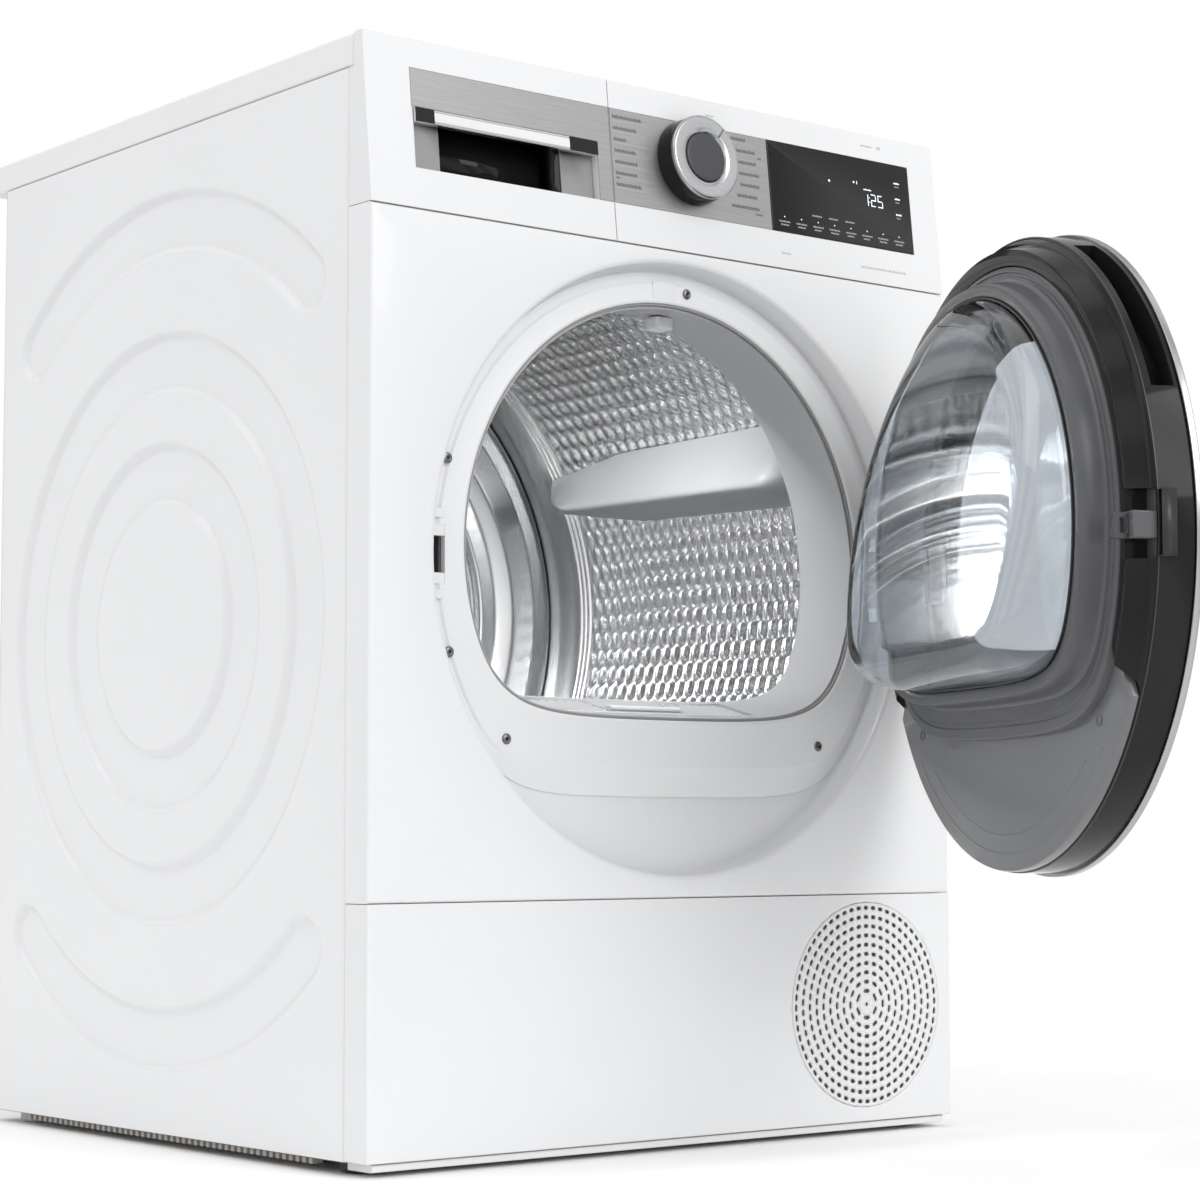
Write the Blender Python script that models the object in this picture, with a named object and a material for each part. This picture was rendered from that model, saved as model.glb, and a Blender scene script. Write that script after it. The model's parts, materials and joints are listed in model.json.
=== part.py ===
"""Heat-pump clothes dryer, front loader, door standing open.

Frame: origin on the floor under the middle of the cabinet, +X to the right as seen from the
front, +Y to the rear, +Z up. Sizes are in metres. Depths are measured back from the flat front
plane with behind(), because that is how the front of the machine is drawn.
"""
import math

import bmesh
import bpy
from mathutils import Matrix, Vector

MM = 0.001
GAP = 0.3 * MM

# Cabinet
WIDTH = 598 * MM
HEIGHT = 842 * MM
DEPTH = 599 * MM
SHEET = 1.0 * MM
FOOT_HEIGHT = 8.7 * MM
FOOT_RADIUS = 20 * MM
STUD_RADIUS = 5 * MM
BODY_BOTTOM = 10 * MM
TRAY_BOTTOM = 9 * MM
TRAY_FRONT = 30 * MM
TRAY_TOP = 58 * MM
TRAY_FLOOR = 3 * MM
TRAY_WALL = 4 * MM
PAN_DROP = 4 * MM
SIDE_REAR = 570 * MM
WORKTOP_THICKNESS = 25.9 * MM
FRONT_WALL = 2.5 * MM
WRAP_DEPTH = 29.4 * MM
TOP_WRAP_DEPTH = 24 * MM
PLINTH_TOP = 195.6 * MM
PANEL_BOTTOM = 710.5 * MM
PANEL_TILT_DEPTH = 13.5 * MM
SEAM = 0.4 * MM

# Round front: dish, loading opening and door share one vertical centre line
DOOR_X = 3 * MM
DOOR_Z = 456.5 * MM
DISH_RADIUS = 243 * MM
DISH_DEPTH = 18.8 * MM
DISH_FLOOR = 2 * MM
DISH_HOLE_RADIUS = 216 * MM
DISH_FOOT_LAP = 12 * MM
BEZEL_THICKNESS = 3 * MM
BEZEL_RADIUS = 238.5 * MM
BEZEL_BOTTOM = 275 * MM
OPENING_RADIUS = 201 * MM
OPENING_Z = 465 * MM
OPENING_FLAT = 338 * MM
OPENING_WALL = 3 * MM
LIP = 3.8 * MM

# Door
DOOR_OPEN = math.radians(66.67)
RING_FRONT = -36 * MM
RING_RADIUS = 243.2 * MM
RING_WIDTH = 6.7 * MM
RING_THICKNESS = 5.7 * MM
GLASS_THICKNESS = 3.7 * MM
SHELL_WALL = 3 * MM
SHELL_RADIUS = 241 * MM
SHELL_REAR = -2 * MM
FLANGE_FRONT = -6.5 * MM
CHIN_FACE = 6 * MM
FRAME_RADIUS = 222.5 * MM
FRAME_Z = 460 * MM
FRAME_FLAT = 316 * MM
FRAME_FACE = 15 * MM
COLLAR_CLEARANCE = 4.7 * MM
COLLAR_REAR = 34 * MM
COLLAR_WALL = 9 * MM
BOWL_WALL = 4 * MM
BOWL_DEPTH = 50 * MM
GASKET = 2.4 * MM
HINGE_X = 242.5 * MM
HINGE_DEPTH = -20 * MM
PIN_RADIUS = 3 * MM
KNUCKLE_RADIUS = 6.5 * MM
KNUCKLE_HALF = 24.2 * MM
BRACKET_HALF = 36.5 * MM
POCKET_HALF = 41.5 * MM
GRIP_FROM = math.radians(114)
GRIP_TO = math.radians(156)
GRIP_DEPTH = 22 * MM
HOOK_X = -226.5 * MM
HOOK_HALF = 2.8 * MM
HOOK_HEIGHT = 18 * MM
HOOK_REAR = 27 * MM
LATCH_Z = 455 * MM
LATCH_HEIGHT = 45 * MM

# Control panel, measured along its tilted face from the lower edge
SEAM_X = -65 * MM
TRIM_LEFT = -257.5 * MM
TRIM_LOW = 31.7 * MM
TRIM_HIGH = 109.1 * MM
TRIM_THICKNESS = 0.6 * MM
RECESS_LEFT = -256 * MM
RECESS_RIGHT = -79.5 * MM
RECESS_HIGH = 79.0 * MM
RECESS_DEPTH = 33 * MM
RECESS_WALL = 2 * MM
GRIP_BAR_HEIGHT = 12.1 * MM
DISPLAY_LEFT = 104 * MM
DISPLAY_RIGHT = 268 * MM
KNOB_X = 19 * MM
KNOB_ALONG = 75.9 * MM
KNOB_RADIUS = 36 * MM
KNOB_DEPTH = 19.5 * MM
KNOB_BORE = 3 * MM

# Water container
TANK_LEFT = -282 * MM
TANK_RIGHT = -84 * MM
TANK_REAR = 420 * MM
TANK_HEIGHT = 58 * MM
TANK_WALL = 2.5 * MM
CROSSBAR_TOP = 743.7 * MM

# Drum and drive
DRUM_Z = 456 * MM
DRUM_RADIUS = 283 * MM
DRUM_WALL = 1.4 * MM
DRUM_FRONT = 96 * MM
DRUM_REAR = 532 * MM
DRUM_LIP_RADIUS = 262 * MM
LIFTER_COUNT = 3
LIFTER_HEIGHT = 62 * MM
LIFTER_WIDTH = 70 * MM
LIFTER_FIRST = math.radians(25)
SHAFT_RADIUS = 11 * MM
ROLLER_RADIUS = 24 * MM
ROLLER_WIDTH = 16 * MM
ROLLER_AXLE = 5 * MM
ROLLER_SPREAD = math.radians(28)
MOTOR_X = 225 * MM
MOTOR_Z = 190 * MM
MOTOR_RADIUS = 52 * MM
MOTOR_SHAFT = 6 * MM
PULLEY_RADIUS = 12 * MM
BELT_DEPTH = 300 * MM
BELT_WIDTH = 9 * MM
BELT_THICKNESS = 2.5 * MM
BELT_ROOM = 1 * MM
IDLER_X = 155 * MM
IDLER_RADIUS = 14 * MM
IDLER_PIVOT_X = 205 * MM
IDLER_PIVOT_Z = 150 * MM
FAN_RADIUS = 53 * MM
FAN_CLEARANCE = 3 * MM

# Filter, air duct and cooling fan
FILTER_INSET = 48.8 * MM
FILTER_HALF = math.sqrt(OPENING_RADIUS ** 2 - (OPENING_Z - OPENING_FLAT) ** 2) - FILTER_INSET
FILTER_FRONT = 34 * MM
FILTER_REAR = 77 * MM
FILTER_BOTTOM = 238 * MM
DUCT_LEFT = -160 * MM
DUCT_RIGHT = 134.7 * MM
DUCT_FRONT = 35 * MM
DUCT_REAR = 456 * MM
DUCT_TOP = 156 * MM
COOLER_X = 201 * MM
COOLER_Z = 105.5 * MM
COOLER_RADIUS = 52 * MM
GRILLE_RADIUS = 83.7 * MM

ROUND = 40
SMALL_ROUND = 20
TINY_ROUND = 12

TRAY_HALF = WIDTH / 2 - SHEET - 0.4 * MM
FLOOR_Z = TRAY_BOTTOM + TRAY_FLOOR + GAP
PANEL_ANGLE = math.atan2(PANEL_TILT_DEPTH, HEIGHT - PANEL_BOTTOM)
BEZEL_FACE = DISH_DEPTH - GAP - BEZEL_THICKNESS


def behind(depth):
    """Y of a point that lies this far behind the front plane."""
    return depth - DEPTH / 2


def clear_scene():
    for thing in list(bpy.data.objects):
        bpy.data.objects.remove(thing, do_unlink=True)


def finish(name, colour, roughness, metallic=0.0, alpha=1.0):
    made = bpy.data.materials.new(name)
    made.use_nodes = True
    shader = made.node_tree.nodes["Principled BSDF"]
    shader.inputs["Base Color"].default_value = (*colour, 1.0)
    shader.inputs["Roughness"].default_value = roughness
    shader.inputs["Metallic"].default_value = metallic
    shader.inputs["Alpha"].default_value = alpha
    return made


clear_scene()
WHITE = finish("white_enamel", (0.86, 0.87, 0.87), 0.35)
WHITE_PLASTIC = finish("white_plastic", (0.83, 0.84, 0.84), 0.4)
BLACK = finish("black_plastic", (0.015, 0.015, 0.016), 0.2)
DARK_GREY = finish("dark_grey_plastic", (0.09, 0.09, 0.1), 0.4)
DOOR_GREY = finish("door_grey_plastic", (0.2, 0.2, 0.21), 0.35)
TRAY_GREY = finish("tray_grey_plastic", (0.3, 0.29, 0.27), 0.6)
SILVER = finish("silver_ring", (0.55, 0.55, 0.56), 0.3, 1.0)
STEEL = finish("stainless_steel", (0.7, 0.7, 0.7), 0.3, 1.0)
BRUSHED = finish("brushed_steel", (0.62, 0.62, 0.62), 0.4, 1.0)
CHROME = finish("chrome", (0.8, 0.8, 0.8), 0.1, 1.0)
ZINC = finish("galvanised_steel", (0.5, 0.51, 0.52), 0.45, 1.0)
SMOKED = finish("black_glass", (0.01, 0.01, 0.012), 0.06)
CLEAR = finish("bowl_glass", (0.75, 0.8, 0.84), 0.03, 0.0, 0.35)
RUBBER = finish("rubber", (0.03, 0.03, 0.03), 0.8)
COPPER_COIL = finish("motor_coil", (0.35, 0.16, 0.08), 0.4, 1.0)
BOARD = finish("circuit_board", (0.03, 0.16, 0.07), 0.5)
ALUMINIUM = finish("aluminium_fins", (0.65, 0.66, 0.67), 0.4, 1.0)
FELT = finish("felt", (0.5, 0.5, 0.48), 0.95)


# Helpers

def pivot(name, place, turn=(0, 0, 0)):
    """An empty on a joint's axis; what hangs on it is drawn as if it had not turned."""
    empty = bpy.data.objects.new(name, None)
    empty.location = place
    empty.rotation_euler = turn
    bpy.context.collection.objects.link(empty)
    return empty


def place(name, bm, look, parent=None):
    """Turn a bmesh into a named, smooth shaded object."""
    bmesh.ops.recalc_face_normals(bm, faces=bm.faces)
    mesh = bpy.data.meshes.new(name)
    bm.to_mesh(mesh)
    bm.free()
    if look:
        mesh.materials.append(look)
    mesh.shade_smooth()
    mesh.set_sharp_from_angle(angle=math.radians(35))
    thing = bpy.data.objects.new(name, mesh)
    bpy.context.collection.objects.link(thing)
    if parent:
        thing.parent = parent
        thing.location = -parent.location if parent.get("drawn_in_place") else (0, 0, 0)
    return thing


def slab(name, low, high, look=None, parent=None, bevel=0.0):
    """A box between two corners, its edges rounded when a bevel is given."""
    bm = bmesh.new()
    middle = [(a + b) / 2 for a, b in zip(low, high)]
    size = [abs(b - a) for a, b in zip(low, high)]
    matrix = Matrix.Translation(middle) @ Matrix.Diagonal((*size, 1.0))
    bmesh.ops.create_cube(bm, size=1.0, matrix=matrix)
    thing = place(name, bm, look, parent)
    if bevel:
        rounding = thing.modifiers.new("rounding", "BEVEL")
        rounding.width = bevel
        rounding.segments = 2
        rounding.limit_method = "ANGLE"
    return thing


def prism(name, outline, low, high, look=None, parent=None, axis="Y"):
    """A flat outline drawn out from low to high along an axis."""
    ring = {
        "X": lambda a, b, c: (c, a, b),
        "Y": lambda a, b, c: (a, c, b),
        "Z": lambda a, b, c: (a, b, c),
    }[axis]
    bm = bmesh.new()
    face = bm.faces.new([bm.verts.new(ring(a, b, low)) for a, b in outline])
    drawn = bmesh.ops.extrude_face_region(bm, geom=[face])
    step = Vector(ring(0, 0, high - low))
    moved = [v for v in drawn["geom"] if isinstance(v, bmesh.types.BMVert)]
    bmesh.ops.translate(bm, verts=moved, vec=step)
    return place(name, bm, look, parent)


def turned(name, profile, centre, look=None, parent=None, axis="Y", steps=ROUND):
    """A profile of (radius, along) points spun round an axis through centre."""
    lines = {"X": (1, 0, 0), "Y": (0, 1, 0), "Z": (0, 0, 1)}
    spots = {
        "X": lambda r, a: (a, centre[1], centre[2] + r),
        "Y": lambda r, a: (centre[0] + r, a, centre[2]),
        "Z": lambda r, a: (centre[0] + r, centre[1], a),
    }
    bm = bmesh.new()
    points = [bm.verts.new(spots[axis](r, a)) for r, a in profile]
    pairs = list(zip(points, points[1:]))
    if profile[0][0] > 0:
        pairs.append((points[-1], points[0]))
    edges = [bm.edges.new(pair) for pair in pairs]
    bmesh.ops.spin(bm, geom=points + edges, cent=centre, axis=lines[axis],
                   angle=math.tau, steps=steps, use_merge=True)
    bmesh.ops.remove_doubles(bm, verts=bm.verts, dist=1e-6)
    return place(name, bm, look, parent)


def rod(name, radius, low, high, centre, look=None, parent=None, axis="Y", steps=SMALL_ROUND):
    profile = [(0, low), (radius, low), (radius, high), (0, high)]
    return turned(name, profile, centre, look, parent, axis, steps)


def washer(name, inner, outer, low, high, centre, look=None, parent=None, axis="Y", steps=ROUND):
    profile = [(inner, low), (outer, low), (outer, high), (inner, high)]
    return turned(name, profile, centre, look, parent, axis, steps)


def lofted(name, rings, look=None, parent=None, looped=True, cup=0):
    """Rings with the same number of points, joined in order.

    looped joins the last ring to the first; otherwise both ends are closed. cup counts the
    outside rings of a cup, whose end is then closed by two faces with a wall between them.
    """
    bm = bmesh.new()
    loops = [[bm.verts.new(point) for point in ring] for ring in rings]
    count = len(loops[0])
    pairs = [(k, k + 1) for k in range(len(loops) - 1) if k + 1 != cup]
    if looped:
        pairs.append((len(loops) - 1, 0))
    for first, second in pairs:
        for k in range(count):
            n = (k + 1) % count
            bm.faces.new((loops[first][k], loops[first][n], loops[second][n], loops[second][k]))
    ends = [cup - 1, cup] if cup else [] if looped else [0, -1]
    for end in ends:
        bm.faces.new(loops[end])
    return place(name, bm, look, parent)


def combine(thing, other, operation):
    """Cut, or join, one shape with another that is then only a guide."""
    change = thing.modifiers.new(operation.lower(), "BOOLEAN")
    change.operation = operation
    change.object = other
    other.hide_render = True
    other.display_type = "WIRE"
    return thing


def cut(thing, *others):
    for other in others:
        combine(thing, other, "DIFFERENCE")
    return thing


def join(thing, *others):
    for other in others:
        combine(thing, other, "UNION")
    return thing


def dee(radius, centre_z, flat_z, depth, count=ROUND, hub_z=OPENING_Z - 3 * MM, slope=None):
    """A D-shaped ring of points: a circle cut off below by a level line, its corners rounded.

    The points lie at even angles about the hub, so rings of different sizes join up.
    slope, when given, adds a depth that depends on each point's height.
    """
    sharpness = 14
    ring = []
    for k in range(count):
        angle = math.tau * k / count
        sine, cosine = math.sin(angle), math.cos(angle)
        offset = centre_z - hub_z
        reach = offset * sine + math.sqrt(radius ** 2 - (offset * cosine) ** 2)
        if flat_z is not None and sine < -1e-6:
            level = (hub_z - flat_z) / -sine
            reach = (reach ** -sharpness + level ** -sharpness) ** (-1 / sharpness)
        z = hub_z + reach * sine
        extra = slope(z) if slope else 0
        ring.append((DOOR_X + reach * cosine, behind(depth + extra), z))
    return ring


def arc_band(name, inner, outer, start, end, low, high, look=None, parent=None, steps=14):
    """Part of a flat ring about the door's axis, between two angles."""
    angles = [start + (end - start) * k / steps for k in range(steps + 1)]
    outline = [(DOOR_X + outer * math.cos(a), DOOR_Z + outer * math.sin(a)) for a in angles]
    outline += [(DOOR_X + inner * math.cos(a), DOOR_Z + inner * math.sin(a))
                for a in reversed(angles)]
    return prism(name, outline, behind(low), behind(high), look, parent)


def belt_outline(first, first_radius, second, second_radius, count=ROUND):
    """The line of a tight band round two circles, each given by its centre."""
    gap = Vector(second) - Vector(first)
    heading = math.atan2(gap.y, gap.x)
    spread = math.acos((first_radius - second_radius) / gap.length)
    outline = []
    for k in range(count + 1):
        angle = heading + spread + (math.tau - 2 * spread) * k / count
        outline.append((first[0] + first_radius * math.cos(angle),
                        first[1] + first_radius * math.sin(angle)))
    small = count // 6
    for k in range(small + 1):
        angle = heading - spread + 2 * spread * k / small
        outline.append((second[0] + second_radius * math.cos(angle),
                        second[1] + second_radius * math.sin(angle)))
    return outline


DOOR_CENTRE = (DOOR_X, 0, DOOR_Z)
DRUM_CENTRE = (0, 0, DRUM_Z)
door = pivot("door_axis", (HINGE_X, behind(HINGE_DEPTH), DOOR_Z), (0, 0, DOOR_OPEN))
door["drawn_in_place"] = True
panel = pivot("panel_plane", (0, behind(0), PANEL_BOTTOM), (-PANEL_ANGLE, 0, 0))


# Cabinet

def make_base_tray():
    tray = slab("base_tray", (-TRAY_HALF, behind(TRAY_FRONT), TRAY_BOTTOM),
                (TRAY_HALF, behind(SIDE_REAR - 3 * MM), TRAY_TOP), TRAY_GREY)
    inner = TRAY_HALF - TRAY_WALL
    hollow = slab("tray_hollow", (-inner, behind(TRAY_FRONT + TRAY_WALL), TRAY_BOTTOM + TRAY_FLOOR),
                  (inner, behind(SIDE_REAR - 3 * MM - TRAY_WALL), TRAY_TOP + 5 * MM))
    pan = slab("tray_pan", (-220 * MM, behind(80 * MM), TRAY_BOTTOM - PAN_DROP),
               (220 * MM, behind(500 * MM), TRAY_BOTTOM + 1 * MM))
    join(cut(tray, hollow), pan)
    for side in (-1, 1):
        for end, depth in (("front", 45), ("rear", 535)):
            centre = (side * 268 * MM, behind(depth * MM), 0)
            hole = rod(f"stud_hole_{end}_{side}", STUD_RADIUS + 0.4 * MM, TRAY_BOTTOM - 2 * MM,
                       TRAY_BOTTOM + 8 * MM, centre, axis="Z", steps=TINY_ROUND)
            cut(tray, hole)
            hand = "left" if side < 0 else "right"
            look = RUBBER if end == "front" else WHITE_PLASTIC
            profile = [(0, 0), (FOOT_RADIUS - 2 * MM, 0), (FOOT_RADIUS, 2 * MM),
                       (FOOT_RADIUS, FOOT_HEIGHT), (STUD_RADIUS, FOOT_HEIGHT),
                       (STUD_RADIUS, FOOT_HEIGHT + 18 * MM), (0, FOOT_HEIGHT + 18 * MM)]
            turned(f"foot_{end}_{hand}", profile, centre, look, axis="Z", steps=SMALL_ROUND)


def make_side_panel(name, side):
    outer = WIDTH / 2
    front, rear = behind(WRAP_DEPTH + GAP), behind(SIDE_REAR)
    outline = [(outer, front), (outer, rear), (outer - 20 * MM, rear), (outer - 20 * MM, rear - SHEET),
               (outer - SHEET, rear - SHEET), (outer - SHEET, front + SHEET),
               (outer - 15 * MM, front + SHEET), (outer - 15 * MM, front)]
    outline = [(side * x, y) for x, y in outline]
    top = HEIGHT - WORKTOP_THICKNESS - GAP
    sheet = prism(name, outline, BODY_BOTTOM, top, WHITE, axis="Z")
    notch = slab(f"{name}_notch", (side * (outer - 30 * MM), front - 5 * MM, 0),
                 (side * (outer - SHEET), front + 5 * MM, TRAY_TOP + 0.6 * MM))
    cut(sheet, notch)


def make_rear():
    half = WIDTH / 2 - 1 * MM
    top = HEIGHT - WORKTOP_THICKNESS - GAP
    back = slab("back_panel", (-half, behind(SIDE_REAR + GAP), 14 * MM),
                (half, behind(SIDE_REAR + GAP + SHEET), top), ZINC)
    cut(back, rod("back_hole", 190 * MM, behind(SIDE_REAR - 10 * MM), behind(SIDE_REAR + 20 * MM),
                  DRUM_CENTRE, steps=32))
    low = behind(SIDE_REAR + 2 * GAP + SHEET)
    outline = [(-215, 60), (255, 60), (255, 610), (180, 690), (-140, 690), (-215, 610)]
    inside = [(-212, 63), (252, 63), (252, 609), (178.6, 687), (-138.6, 687), (-212, 609)]
    cover = prism("rear_duct_cover", [(x * MM, z * MM) for x, z in outline], low, behind(596 * MM), ZINC)
    cut(cover, prism("cover_hollow", [(x * MM, z * MM) for x, z in inside], low - 20 * MM, behind(594 * MM)))
    bulkhead = slab("rear_bulkhead", (-TRAY_HALF, behind(548 * MM), TRAY_TOP + GAP),
                    (TRAY_HALF, behind(551 * MM), 742 * MM), ZINC)
    join(bulkhead, rod("bearing_seat", 30 * MM, behind(537 * MM), behind(550 * MM), DRUM_CENTRE,
                       steps=SMALL_ROUND))
    cut(bulkhead, rod("bearing_bore", SHAFT_RADIUS + 0.4 * MM, behind(530 * MM), behind(560 * MM),
                      DRUM_CENTRE, steps=SMALL_ROUND))
    for k in range(6):
        angle = math.tau * (k + 0.5) / 6
        centre = (150 * MM * math.cos(angle), 0, DRUM_Z + 150 * MM * math.sin(angle))
        cut(bulkhead, rod(f"air_hole_{k}", 28 * MM, behind(540 * MM), behind(560 * MM), centre,
                          steps=TINY_ROUND))


def make_worktop():
    low = HEIGHT - WORKTOP_THICKNESS
    half = WIDTH / 2
    top = slab("worktop", (-half, behind(TOP_WRAP_DEPTH + GAP), low), (half, behind(DEPTH), HEIGHT),
               WHITE)
    cut(top, slab("worktop_hollow", (-half + 20 * MM, behind(45 * MM), low - 5 * MM),
                  (half - 20 * MM, behind(560 * MM), HEIGHT - 14 * MM)))
    bar = slab("front_crossbar", (-TRAY_HALF, behind(42 * MM), 722 * MM),
               (TRAY_HALF, behind(66 * MM), CROSSBAR_TOP), ZINC)
    cut(bar, slab("crossbar_hollow", (-TRAY_HALF - 5 * MM, behind(43.5 * MM), 715 * MM),
                  (TRAY_HALF + 5 * MM, behind(64.5 * MM), CROSSBAR_TOP - 1.5 * MM)))


def make_front_panel():
    half = WIDTH / 2
    low, high = PLINTH_TOP + SEAM, PANEL_BOTTOM - GAP
    wall = FRONT_WALL
    front = slab("front_panel", (-half, behind(0), low), (half, behind(WRAP_DEPTH), high), WHITE)
    cut(front, slab("front_hollow", (-half + wall, behind(wall), low + wall),
                    (half - wall, behind(60 * MM), high - wall)))
    cut(front, rod("dish_opening", DISH_RADIUS + 1.5 * MM, behind(-10 * MM), behind(10 * MM),
                   DOOR_CENTRE, steps=ROUND))
    rear = DISH_DEPTH + DISH_FLOOR
    profile = [(DISH_RADIUS, 0), (DISH_RADIUS + 3 * MM, 0), (DISH_RADIUS + 3 * MM, rear),
               (DISH_HOLE_RADIUS, rear), (DISH_HOLE_RADIUS, DISH_DEPTH), (DISH_RADIUS, DISH_DEPTH)]
    dish = turned("dish", [(r, behind(d)) for r, d in profile], DOOR_CENTRE)
    foot = rod("dish_foot", DISH_HOLE_RADIUS + 1 * MM, behind(DISH_DEPTH), behind(rear), DOOR_CENTRE,
               steps=ROUND)
    cut(foot, slab("dish_foot_top", (-half, behind(0), BEZEL_BOTTOM + DISH_FOOT_LAP),
                   (half, behind(60 * MM), high)))
    join(front, dish, foot)
    cut(front, latch_slot("panel_latch_slot"))


def latch_slot(name):
    return slab(name, (HOOK_X - 5 * MM, behind(0), LATCH_Z - LATCH_HEIGHT / 2),
                (HOOK_X + 6.5 * MM, behind(30 * MM), LATCH_Z + LATCH_HEIGHT / 2))


def make_bezel():
    face, rear = behind(BEZEL_FACE), behind(BEZEL_FACE + BEZEL_THICKNESS)
    bezel = rod("door_bezel", BEZEL_RADIUS, face, rear, DOOR_CENTRE, WHITE_PLASTIC, steps=ROUND)
    cut(bezel, slab("bezel_foot", (-0.3, behind(0), 0.1), (0.3, behind(30 * MM), BEZEL_BOTTOM)))
    rings = [dee(OPENING_RADIUS + LIP, OPENING_Z, OPENING_FLAT - LIP, d) for d in (0, 30 * MM)]
    cut(bezel, lofted("bezel_opening", rings, looped=False), latch_slot("bezel_latch_slot"))
    low = DISH_DEPTH + DISH_FLOOR + GAP
    receiver = slab("latch_receiver", (-240 * MM, behind(low), 425 * MM),
                    (-219.6 * MM, behind(48 * MM), 485 * MM), DARK_GREY)
    cut(receiver, slab("receiver_hollow", (HOOK_X - 6 * MM, behind(0), LATCH_Z - LATCH_HEIGHT / 2),
                       (HOOK_X + 5 * MM, behind(45 * MM), LATCH_Z + LATCH_HEIGHT / 2)))


def make_plinth():
    half = WIDTH / 2
    wall = FRONT_WALL
    plinth = slab("plinth_panel", (-half, behind(0), BODY_BOTTOM), (half, behind(WRAP_DEPTH), PLINTH_TOP),
                  WHITE_PLASTIC)
    cut(plinth, slab("plinth_hollow", (-half + wall, behind(wall), 0),
                     (half - wall, behind(60 * MM), PLINTH_TOP - wall)))
    centre = (COOLER_X, 0, COOLER_Z)
    cut(plinth, rod("grille_hole", GRILLE_RADIUS + GAP, behind(-10 * MM), behind(20 * MM), centre,
                    steps=ROUND))
    grille = rod("vent_grille", GRILLE_RADIUS, behind(0), behind(2.2 * MM), centre, WHITE_PLASTIC,
                 steps=ROUND)
    for radius in (24, 46, 68):
        for k in range(3):
            start = math.tau * k / 3 + 0.12
            steps = 6
            sweep = math.tau / 3 - 0.24
            angles = [start + sweep * n / steps for n in range(steps + 1)]
            outline = [(COOLER_X + (radius + 5) * MM * math.cos(a),
                        COOLER_Z + (radius + 5) * MM * math.sin(a)) for a in angles]
            outline += [(COOLER_X + (radius - 5) * MM * math.cos(a),
                         COOLER_Z + (radius - 5) * MM * math.sin(a)) for a in reversed(angles)]
            cut(grille, prism(f"grille_slot_{radius}_{k}", outline, behind(-5 * MM), behind(8 * MM)))


# Control panel and drawer

def fascia(name, left, right, look, parent=None):
    """A hollow length of the tilted panel: left and right are its ends."""
    low = PANEL_BOTTOM + GAP
    slope = math.tan(PANEL_ANGLE)
    top = HEIGHT - WORKTOP_THICKNESS

    def face(z, inset=0.0):
        return behind((z - PANEL_BOTTOM) * slope + inset)

    outline = [(face(low), low), (face(HEIGHT), HEIGHT), (behind(TOP_WRAP_DEPTH), HEIGHT),
               (behind(TOP_WRAP_DEPTH), top - GAP), (behind(WRAP_DEPTH), top - GAP),
               (behind(WRAP_DEPTH), low)]
    shell = prism(name, outline, left, right, look, parent, axis="X")
    wall = FRONT_WALL + 0.5 * MM
    inner_low, inner_high = low + wall, HEIGHT - wall
    inside = [(face(inner_low, wall), inner_low), (face(inner_high, wall), inner_high),
              (behind(50 * MM), inner_high), (behind(50 * MM), inner_low)]
    cut(shell, prism(f"{name}_hollow", inside, left + wall, right - wall, axis="X"))
    return shell


def make_control_panel():
    left, right = SEAM_X + SEAM, WIDTH / 2
    shell = fascia("control_panel", left, right, WHITE_PLASTIC)
    trim_cut = slab("trim_seat", (left - 5 * MM, -5 * MM, TRIM_LOW - GAP),
                    (DISPLAY_LEFT, TRIM_THICKNESS + GAP, TRIM_HIGH + GAP), parent=panel)
    window_cut = slab("window_seat", (DISPLAY_LEFT - GAP, -6 * MM, TRIM_LOW - 0.4 * MM),
                      (DISPLAY_RIGHT + GAP, 10 * MM, TRIM_HIGH + 0.4 * MM), parent=panel)
    bore = rod("knob_bore", KNOB_BORE + 1 * MM, -5 * MM, 10 * MM, (KNOB_X, 0, KNOB_ALONG),
               parent=panel, steps=TINY_ROUND)
    cut(shell, trim_cut, window_cut, bore)
    trim = slab("panel_steel_trim", (SEAM_X + SEAM + GAP, 0, TRIM_LOW),
                (DISPLAY_LEFT - 2 * GAP, TRIM_THICKNESS, TRIM_HIGH), BRUSHED, panel)
    cut(trim, bore)
    slab("display_window", (DISPLAY_LEFT, -0.2 * MM, TRIM_LOW), (DISPLAY_RIGHT, 2.2 * MM, TRIM_HIGH),
         SMOKED, panel)
    board = slab("control_board", (KNOB_X - 18 * MM, 3.4 * MM, TRIM_LOW - 6 * MM),
                 (DISPLAY_RIGHT + 8 * MM, 5.2 * MM, TRIM_HIGH + 6 * MM), BOARD, panel)
    join(board, slab("board_parts", (DISPLAY_LEFT + 20 * MM, 5 * MM, TRIM_LOW + 12 * MM),
                     (DISPLAY_RIGHT - 40 * MM, 15 * MM, TRIM_HIGH - 10 * MM), parent=panel),
         slab("encoder", (KNOB_X - 14 * MM, 5 * MM, KNOB_ALONG - 14 * MM),
              (KNOB_X + 14 * MM, 14 * MM, KNOB_ALONG + 14 * MM), parent=panel))
    cut(board, rod("encoder_bore", KNOB_BORE + 0.4 * MM, 0, 12 * MM, (KNOB_X, 0, KNOB_ALONG), parent=panel,
                   steps=TINY_ROUND))


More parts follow.
